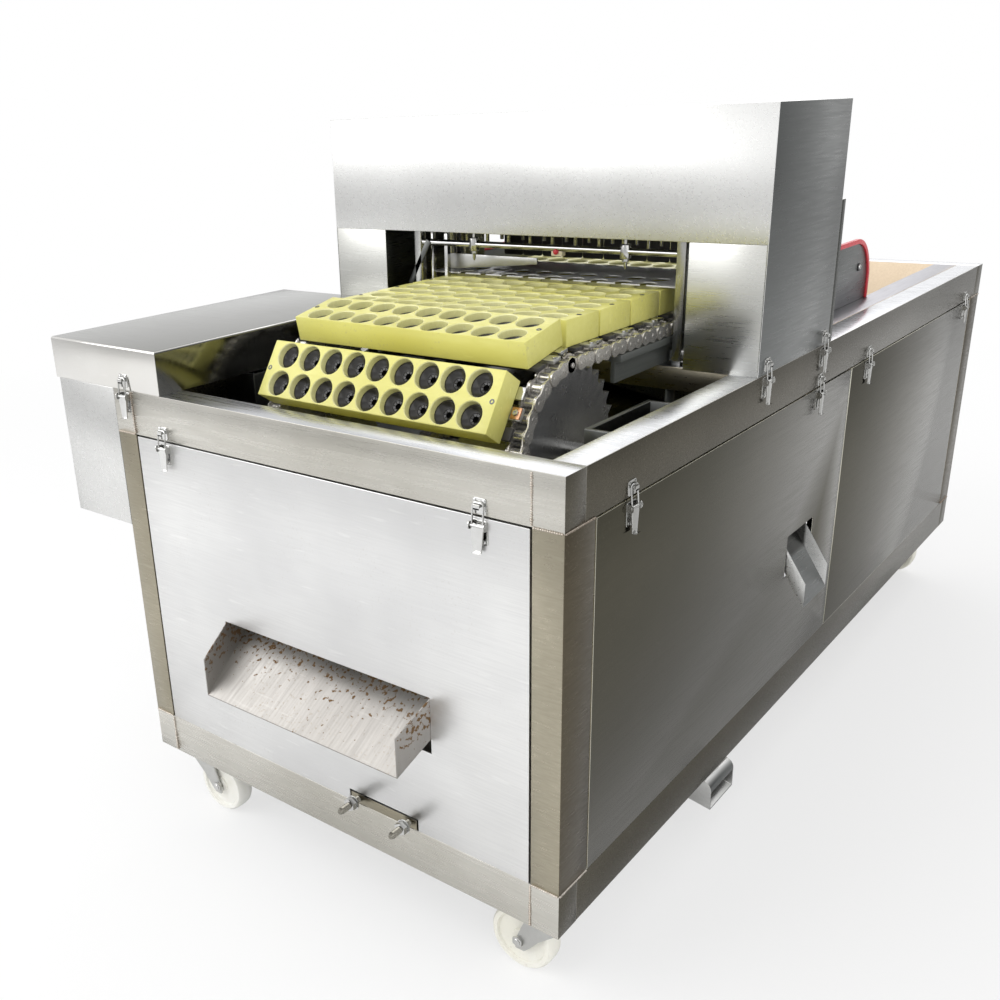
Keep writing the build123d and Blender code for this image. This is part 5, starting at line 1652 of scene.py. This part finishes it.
# ---------------------------------------------------------------- casters
@dataclass
class Casters:
    """Swivel casters: nylon wheels in pressed forks."""

    pivots: Span = (-0.3215, 0.4485)
    ends: Span = (-0.9105, 0.9755)
    trail: float = 0.038
    radius: float = 0.055
    width: float = 0.034
    top: float = 0.1267
    inner: float = 0.019
    sheet: float = 0.004
    crown: float = 0.056
    leg: float = 0.030
    # each step of a leg: its length, its width and its share of the trail
    steps: tuple[Point, ...] = (
        (0.028, 0.036, 0.55), (0.020, 0.027, 0.30), (0.010, 0.016, 0.10),
    )

    def wheel(self) -> Object:
        """Model a wheel: rounded tread, dished web and raised hub.

        Returns:
            The wheel, along Y about its middle.
        """
        half, r = self.width / 2, self.radius
        web, hub = half - 0.004, half - 0.0006
        side = [
            (r, half - 0.010), (r - 0.001, half - 0.004), (r - 0.004, half), (r - 0.011, half),
            (r - 0.013, web), (0.0150, web), (0.0140, hub), (0.0074, hub),
        ]
        profile = [(radius, -height) for radius, height in reversed(side)] + side
        return Piece.turned(profile, 56, NYLON, turn(90, "X"))

    def one_leg(self, side: int, trail: float) -> Object:
        """Model a leg that steps down from the crown to the axle.

        Args:
            side: Which side of the wheel it is on.
            trail: How far the axle stands off the pivot along X.

        Returns:
            The leg, about the fork's pivot.
        """
        middle_y, near = side * (self.inner + self.sheet / 2), 0.0001
        leg = Bench.cube(
            (self.crown, self.sheet, self.leg), (0, middle_y, self.top - self.leg / 2)
        )
        for down, wide, shift in self.steps:
            Bench.pick(leg, Pick.FACE, lambda middle, normal: normal.z < -ALONG)
            Bench.extrude((trail * shift, 0, -down))
            Bench.clear()
            lowest = min(vert.co.z for vert in leg.data.vertices)
            ends = [vert.co.x for vert in leg.data.vertices if vert.co.z < lowest + near]
            left, right = min(ends), max(ends)
            Bench.pick(leg, Pick.VERT, lambda middle, normal, low=lowest: middle.z < low + near)
            Bench.resize((wide / (right - left), 1, 1), ((left + right) / 2, 0, lowest))
            Bench.clear()
        return Bench.bevel(leg, 0.0012)

    def fork(self, trail: float) -> Object:
        """Model a fork: crown, race, legs, axle bolt and nuts.

        Args:
            trail: How far the axle stands off the pivot along X.

        Returns:
            The fork, its pivot on the Z axis and the floor at z = 0.
        """
        outer = self.inner + self.sheet
        crown = Bench.cube((self.crown, 2 * outer, self.sheet), (0, 0, self.top - self.sheet / 2))
        race = Bench.turned(
            [(0.026, self.top - 0.0003), (0.026, self.top), (0.022, self.top), (0.012, self.top)],
            36,
        )
        legs = [self.one_leg(side, trail) for side in SIDES]
        parts = [Piece.dress(part, ZINC) for part in (Bench.bevel(crown, 0.0010), race, *legs)]
        axle = Bench.cylinder(0.0060, 2 * outer + 0.012, (trail, 0, self.radius), Axis.Y, 20)
        Bench.bevel(axle, 0.0006, 1, lambda middle, along: abs(middle.y) > outer + 0.005)
        parts.append(Piece.dress(axle, POLISHED))
        for side in SIDES:
            spot = (trail, side * (outer + 0.0023), self.radius)
            parts.append(Piece.hexagon(0.0098, 0.0046, spot, 0.0008, axis=Axis.Y))
        return Bench.join(parts)

    def build(self) -> None:
        """Place four forks and four wheels on their bodies."""
        wheel = self.wheel()
        for end, y in zip(("front", "rear"), self.ends):
            for side, x, sign in zip(("left", "right"), self.pivots, (1, -1)):
                name, trail = f"{end}_{side}", sign * self.trail
                fork = Bench.moved(self.fork(trail), at(x, y, 0))
                disc = Bench.copy(wheel, at(x + trail, y, self.radius))
                Piece.finish(
                    fork, f"pressed_fork_{name}", f"swivel_{name}", "bracket_steel",
                    (f"caster_fork_{name}",),
                )
                Piece.finish(
                    disc, f"nylon_wheel_{name}", f"wheel_{name}", "wheel_nylon",
                    (f"caster_wheel_{name}",),
                )
        Bench.remove([wheel])


# ---------------------------------------------------------------- front fittings
@dataclass
class Adjuster:
    """Clamp plate with two threaded studs, washers and nuts in the front panel's notch."""

    middle_x: float = 0.1845
    front_y: float = -0.9785
    spread: float = 0.105
    z: float = 0.226
    plate: Point = (0.136, 0.004, 0.018)
    radius: float = 0.006
    thread: float = 0.0008
    turns: int = 22
    reach: float = 0.046

    def stud(self) -> Object:
        """Model a threaded stud with its rounded tip.

        Returns:
            The stud, along Z from z = 0.
        """
        step, root = (self.reach - 0.004) / self.turns, self.radius - self.thread
        profile = []
        for i in range(self.turns):
            profile += [(root, i * step), (self.radius, (i + 0.5) * step)]
        profile += [(root, self.reach - 0.003), (self.radius - 0.0022, self.reach)]
        return Piece.turned(profile, 14, STUD_STEEL)

    @staticmethod
    def nut() -> Object:
        """Model a hexagon nut with its washer.

        Returns:
            Both, along Z, the washer 12.6 mm off the plate's face.
        """
        nut = Bench.cylinder(0.01097, 0.0096, (0, 0, 0.0192), sides=6)
        Bench.bevel(nut, 0.0010, 2, lambda middle, along: abs(along.z) < ACROSS)
        washer = Bench.turned(
            [(0.0066, 0.0126), (0.0122, 0.0126), (0.0122, 0.0143), (0.0066, 0.0143)], 28
        )
        return Piece.dress(Bench.join([nut, washer]), POLISHED)

    def build(self) -> None:
        """Place the plate, both studs and their nuts."""
        spot = (self.middle_x, self.front_y + self.plate[1] / 2, self.z)
        parts = [Piece.block(self.plate, spot, 0.0010, TUBE)]
        stud, nut = self.stud(), self.nut()
        for side in SIDES:
            place = at(self.middle_x + side * self.spread / 2, self.front_y, self.z) @ turn(90, "X")
            parts += [Bench.copy(stud, place), Bench.copy(nut, place)]
        Bench.remove([stud, nut])
        Piece.finish(
            Bench.join(parts), "threaded_adjusters", Body.CABINET, "machined_steel",
            ("adjuster_studs",),
        )


@dataclass
class WeldSeams:
    """Rippled weld beads where the tubes of the cabinet's frame meet at its corners."""

    left: float = -0.3815
    right: float = 0.5085
    front: float = -0.9785
    back: float = 1.0435
    base: float = 0.142
    top: float = 0.842
    tube: float = 0.075
    post: Span = (0.048, 0.076)
    bead: float = 0.0027
    flat: float = 0.6
    pace: float = 0.0032
    inset: float = 0.0022
    back_gap: float = 0.004
    sizes: Span = (0.85, 0.3)
    seed: int = 7

    def seams(self) -> list[tuple[Vector, Vector]]:
        """Find the seams.

        Returns:
            Both ends of every bead.
        """
        ends = []
        wide, deep = self.post
        for z, outer in ((self.base + self.tube, self.base), (self.top - self.tube, self.top)):
            y, low, high = self.front, min(z, outer), max(z, outer)
            ends.append(((self.left, y, z), (self.left + wide, y, z)))
            ends.append(((self.right - wide, y, z), (self.right, y, z)))
            for x in (self.left + wide, self.right - wide):
                ends.append(((x, y, low), (x, y, high)))
            for x in (self.left, self.right):
                ends.append(((x, y, z), (x, y + deep, z)))
                ends.append(((x, self.back - deep, z), (x, self.back - self.back_gap, z)))
        return [(Vector(start), Vector(end)) for start, end in ends]

    def build(self) -> None:
        """Copy flattened drops of weld along each seam."""
        rng = random.Random(self.seed)
        Bench.clear()
        bpy.ops.mesh.primitive_ico_sphere_add(subdivisions=1, radius=self.bead)
        drop = Bench.settle(bpy.context.active_object)
        Bench.pick(drop, Pick.VERT, lambda middle, normal: True)
        Bench.resize((1.0, 1.0, self.flat))
        Bench.clear()
        Piece.dress(drop, WELD)
        drops = []
        for start, end in self.seams():
            count = int((end - start).length / self.pace)
            for i in range(1, count):
                spot = start.lerp(end, i / count)
                if abs(start.y - end.y) < 1e-6:
                    # a bead on the front keeps inside the frame's width
                    spot.x = min(max(spot.x, self.left + self.inset), self.right - self.inset)
                size = self.sizes[0] + self.sizes[1] * rng.random()
                place = at(*spot) @ turn(rng.uniform(0, 90), "Z") @ Matrix.Scale(size, 4)
                drops.append(Bench.copy(drop, place))
        piece = Bench.join(drops)
        Bench.remove([drop])
        Piece.finish(piece, "weld_beads", Body.CABINET, "frame_steel", angle=60.0)


# ---------------------------------------------------------------- tunnel mouth
@dataclass
class TunnelMouth:
    """What shows in the tunnel: crossbar with clamps, needles, posts, plates and flap."""

    trays: TraySet
    bar_y: float = -0.3585
    bar_z: float = 1.023
    bar_half: float = 0.267
    clamps: Span = (-0.146, 0.170)
    head_y: float = -0.2935
    flap_y: float = -0.0865
    flap_top: float = 1.0462
    flap_tall: float = 0.078
    flap_pitch: float = 0.0478
    flap_strips: int = 11
    tips: float = 1.02257
    shank: float = 1.09757
    block_x: float = 0.112

    def crossbar(self) -> None:
        """Add the round bar with two hexagon clamps on pointed rods."""
        middle_x, radius = self.trays.line.middle_x, 0.006
        place = (middle_x, self.bar_y, self.bar_z)
        bar = Bench.cylinder(radius, 2 * self.bar_half, place, Axis.X)
        rod = [(0.0008, -0.030), (0.0030, -0.025), (0.0030, 0.020), (0.0052, 0.020),
               (0.0052, 0.026), (0.0030, 0.028), (0.0008, 0.030)]
        grip = [(0.0046, -0.0175), (0.0062, -0.0165), (0.0062, -0.0125), (0.0046, -0.0118)]
        parts = [Piece.dress(bar, POLISHED)]
        for x in self.clamps:
            spot = (middle_x + x, self.bar_y, self.bar_z)
            parts += [
                Piece.hexagon(0.010, 0.024, spot, 0.0012),
                Piece.turned(rod, 16, POLISHED, at(*spot)),
                Piece.turned(grip, 6, POLISHED, at(*spot)),
            ]
        Piece.finish(
            Bench.join(parts), "clamped_crossbar", Body.CABINET, "machined_steel",
            ("hood_crossbar",),
        )

    def needles(self) -> None:
        """Add stepped needles with hollow-ground tips, and lock nuts under the head plate."""
        tips, top = self.tips, self.shank
        needle = Piece.turned(
            [(0.0018, tips + 0.0022), (0.0030, tips), (0.0037, tips + 0.0012),
             (0.0037, tips + 0.030), (0.0040, tips + 0.032), (0.0040, top)],
            16, POLISHED,
        )
        unit = Bench.join([needle, Piece.hexagon(0.0072, 0.0050, (0, 0, top - 0.0026), 0.0006, 1)])
        piece = Bench.join([
            Bench.copy(unit, at(self.trays.line.middle_x + x, self.head_y + y, 0))
            for x, y in self.trays.spots()
        ])
        Bench.remove([unit])
        Piece.finish(piece, "stepped_needles", Body.PUNCH, "machined_steel", ("needles",))

    def brackets(self) -> None:
        """Add thin posts, a slanting strut, an angle plate and a small sensor block."""
        y = self.bar_y
        parts = [
            Piece.block((wide, 0.010, 0.150), (x, y + 0.012, 0.9745), 0.0010, POLISHED)
            for x, wide in ((-0.2044, 0.008), (-0.1751, 0.006), (-0.1413, 0.008))
        ]
        strut = Piece.block((0.012, 0.004, 0.098), (0, 0, 0), 0.0014, DARK_STEEL)
        parts.append(Bench.moved(strut, at(-0.196, y - 0.006, 0.984) @ turn(30, "Y")))
        plate = Bench.cube((0.204, 0.003, 0.030), (-0.0505, y + 0.030, 0.9850))
        Bench.pick(plate, Pick.FACE, lambda middle, normal: normal.x > ALONG)
        Bench.resize((1, 1, 0.4), (0.0515, 0, 0.9990))
        Bench.clear()
        parts.append(Piece.dress(Bench.bevel(plate, 0.0008), ZINC))
        spot = (self.block_x, y + 0.004, 1.0170)
        parts.append(Piece.block((0.022, 0.014, 0.016), spot, 0.0018, CREAM, 3))
        lens = [(0.0050, 0.0), (0.0050, 0.0030), (0.0036, 0.0044), (0.0010, 0.0050)]
        ahead = at(self.block_x, y - 0.003, 1.0170) @ turn(90, "X")
        parts.append(Piece.turned(lens, 20, RED_RUBBER, ahead))
        for x in (0.3480, 0.3590):
            spot = (x, y + 0.004, 0.9560)
            parts.append(Piece.block((0.006, 0.010, 0.176), spot, 0.0010, DARK_STEEL))
        foot = (0.3530, y + 0.004, 0.8560)
        parts.append(Piece.block((0.028, 0.020, 0.020), foot, 0.0016, POLISHED))
        Piece.finish(Bench.join(parts), "mouth_brackets", Body.CABINET, "machined_steel")

    def flap(self) -> None:
        """Add the slit rubber flap at the rear end, which levels the fruit on the trays."""
        middle_x, pitch, count = self.trays.line.middle_x, self.flap_pitch, self.flap_strips
        strip = Bench.cube(
            (pitch - 0.0012, 0.0026, self.flap_tall),
            (0, self.flap_y, self.flap_top - self.flap_tall / 2),
        )
        Bench.bevel(strip, 0.0040, 3, lambda middle, along: abs(along.y) > ALONG and middle.z < 1.0)
        Piece.dress(Bench.bevel(strip, 0.0004, 1), BLACK_RUBBER)
        spot = (0, self.flap_y - 0.0028, self.flap_top - 0.008)
        clamp = Piece.block((count * pitch, 0.0030, 0.014), spot, 0.0008, ZINC)
        parts = [Bench.moved(clamp, at(middle_x, 0, 0))]
        for i in range(count):
            parts.append(Bench.copy(strip, at(middle_x + (i - (count - 1) / 2) * pitch, 0, 0)))
        Bench.remove([strip])
        Piece.finish(Bench.join(parts), "levelling_flap", Body.CABINET, "guide_plastic")

    def build(self) -> None:
        """Build all that shows in the tunnel."""
        self.crossbar()
        self.needles()
        self.brackets()
        self.flap()


@dataclass
class GuardBolts:
    """Domed bolts on black washers, which hold both guards."""

    front_gap: float = 0.035
    back_gap: float = 0.060
    top_gap: float = 0.050

    @staticmethod
    def bolt() -> Object:
        """Model a bolt.

        Returns:
            The bolt on its washer, along Z from z = 0.
        """
        dome = [(0.0056, 0.0012), (0.0056, 0.0026), (0.0046, 0.0042), (0.0026, 0.0050),
                (0.0022, 0.0050), (0.0020, 0.0034)]
        washer = [(0.0040, 0.0), (0.0085, 0.0), (0.0085, 0.0014), (0.0040, 0.0014)]
        return Bench.join(
            [Piece.turned(dome, 20, POLISHED), Piece.turned(washer, 24, BLACK_RUBBER)]
        )

    def build(self) -> None:
        """Put two bolts on each guard's outer side."""
        bolt = self.bolt()
        low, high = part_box("hopper_guards")
        parts = [
            Bench.copy(bolt, at(x, y, high.z - self.top_gap) @ turn(side * 90, "Y"))
            for y in (low.y + self.front_gap, high.y - self.back_gap)
            for x, side in ((high.x, 1), (low.x, -1))
        ]
        Bench.remove([bolt])
        Piece.finish(Bench.join(parts), "guard_bolts", Body.CABINET, "machined_steel")


# ---------------------------------------------------------------- studio
@dataclass
class Studio:
    """Pale floor, soft lamps and the camera at the photograph's angle."""

    place: Point = (1.14016, -2.03347, 1.25395)
    angles: Point = (68.7836, 2.3322, 39.4490)
    lens: float = 38.465
    sensor: float = 36.0
    shift: Span = (0.1005, 0.02985)
    aim: Point = (0.05, 0.0, 0.6)
    lamps: dict[str, tuple[Point, float, float]] = field(
        default_factory=lambda: {
            "key": ((-2.4, -3.4, 3.4), 4.2, 120.0),
            "fill": ((3.2, -2.0, 2.2), 3.6, 40.0),
            "back": ((-0.6, 3.6, 3.4), 3.6, 50.0),
        }
    )
    ground: float = 120.0
    fade: Span = (1.2, 4.5)

    def camera(self) -> None:
        """Stand the camera."""
        data = bpy.data.cameras.new("camera")
        data.lens = self.lens
        data.sensor_width = self.sensor
        data.shift_x, data.shift_y = self.shift
        camera = bpy.data.objects.new("camera", data)
        camera.location = self.place
        camera.rotation_euler = [math.radians(angle) for angle in self.angles]
        bpy.context.collection.objects.link(camera)
        bpy.context.scene.camera = camera

    def lamp(self, name: str, spot: Point, size: float, power: float) -> None:
        """Hang a square lamp that looks at the machine's middle.

        Args:
            name: Name of the lamp.
            spot: Where it hangs.
            size: Its side.
            power: Its power in watts.
        """
        data = bpy.data.lights.new(name, "AREA")
        data.shape = "SQUARE"
        data.size = size
        data.energy = power
        lamp = bpy.data.objects.new(name, data)
        lamp.location = spot
        way = Vector(self.aim) - Vector(spot)
        lamp.rotation_euler = way.to_track_quat("-Z", "Y").to_euler()
        bpy.context.collection.objects.link(lamp)

    @staticmethod
    def blend(tree: Tree, share: Socket, first: Node, second: Node) -> Node:
        """Mix two shaders.

        Args:
            tree: Tree that the node goes into.
            share: Mask of the second shader.
            first: Node of the first shader.
            second: Node of the second shader.

        Returns:
            The mixing node.
        """
        node = tree.nodes.new("ShaderNodeMixShader")
        for slot, socket in enumerate((share, first.outputs[0], second.outputs[0])):
            tree.links.new(socket, node.inputs[slot])
        return node

    def floor(self) -> None:
        """Lay a wide pale floor that keeps the machine's shadow and runs out into white."""
        Bench.clear()
        bpy.ops.mesh.primitive_plane_add(size=self.ground, location=(0, 0, 0))
        floor = bpy.context.active_object
        floor.name = "floor"
        material = bpy.data.materials.new("pale_floor")
        material.use_nodes = True
        tree = material.node_tree
        shader = tree.nodes["Principled BSDF"]
        shader.inputs["Base Color"].default_value = (0.88, 0.88, 0.88, 1.0)
        shader.inputs["Roughness"].default_value = 0.9
        white = tree.nodes.new("ShaderNodeEmission")
        white.inputs["Color"].default_value = (1.0, 1.0, 1.0, 1.0)
        white.inputs["Strength"].default_value = 1.0
        reach = tree.nodes.new("ShaderNodeVectorMath")
        reach.operation = "LENGTH"
        tree.links.new(tree.nodes.new("ShaderNodeTexCoord").outputs["Object"], reach.inputs[0])
        far = Effects.ramp(tree, reach.outputs["Value"], self.fade, (0.62, 1.0))
        path = tree.nodes.new("ShaderNodeLightPath")
        share = Effects.maths(tree, "MULTIPLY", far, path.outputs["Is Camera Ray"])
        mix = self.blend(tree, share, shader, white)
        tree.links.new(mix.outputs[0], tree.nodes["Material Output"].inputs["Surface"])
        floor.data.materials.append(material)

    def world(self) -> None:
        """Light the room: white for the camera, dim on its right for gloss, softer for the rest."""
        world = bpy.data.worlds.new("room")
        bpy.context.scene.world = world
        world.use_nodes = True
        tree = world.node_tree
        soft = tree.nodes["Background"]
        glossy, white = (tree.nodes.new("ShaderNodeBackground") for _ in range(2))
        for shade, strength in ((soft, 0.75), (glossy, 1.0), (white, 1.0)):
            shade.inputs["Color"].default_value = (1.0, 1.0, 1.0, 1.0)
            shade.inputs["Strength"].default_value = strength
        room = tree.nodes.new("ShaderNodeTexCoord").outputs["Generated"]
        # gloss sees a room whose right side is dim
        dim = Effects.ramp(tree, Effects.split(tree, room)["X"], (0.10, 0.85), (1.0, 0.30))
        tree.links.new(dim, glossy.inputs["Color"])
        path = tree.nodes.new("ShaderNodeLightPath").outputs
        gloss = Effects.maths(
            tree, "MAXIMUM", path["Is Glossy Ray"], path["Is Transmission Ray"]
        )
        seen = self.blend(tree, path["Is Camera Ray"], self.blend(tree, gloss, soft, glossy), white)
        tree.links.new(seen.outputs[0], tree.nodes["World Output"].inputs["Surface"])

    def build(self) -> None:
        """Set up the whole studio."""
        self.camera()
        self.floor()
        self.world()
        for name, (spot, size, power) in self.lamps.items():
            self.lamp(name, spot, size, power)
        bpy.context.scene.view_settings.view_transform = "Standard"


def main() -> None:
    """Dress the frame, piece by piece."""
    logging.basicConfig(level=logging.INFO, format="%(name)s: %(message)s")
    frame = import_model()
    Studio().build()
    EdgedNodes(frame).build()
    line = Conveyor()
    trays = TraySet(line)
    trays.build()
    ChainSet(line).build()
    ShaftSet(line).build()
    Latches().build()
    Casters().build()
    Adjuster().build()
    WeldSeams().build()
    TunnelMouth(trays).build()
    GuardBolts().build()


if __name__ == "__main__":
    main()
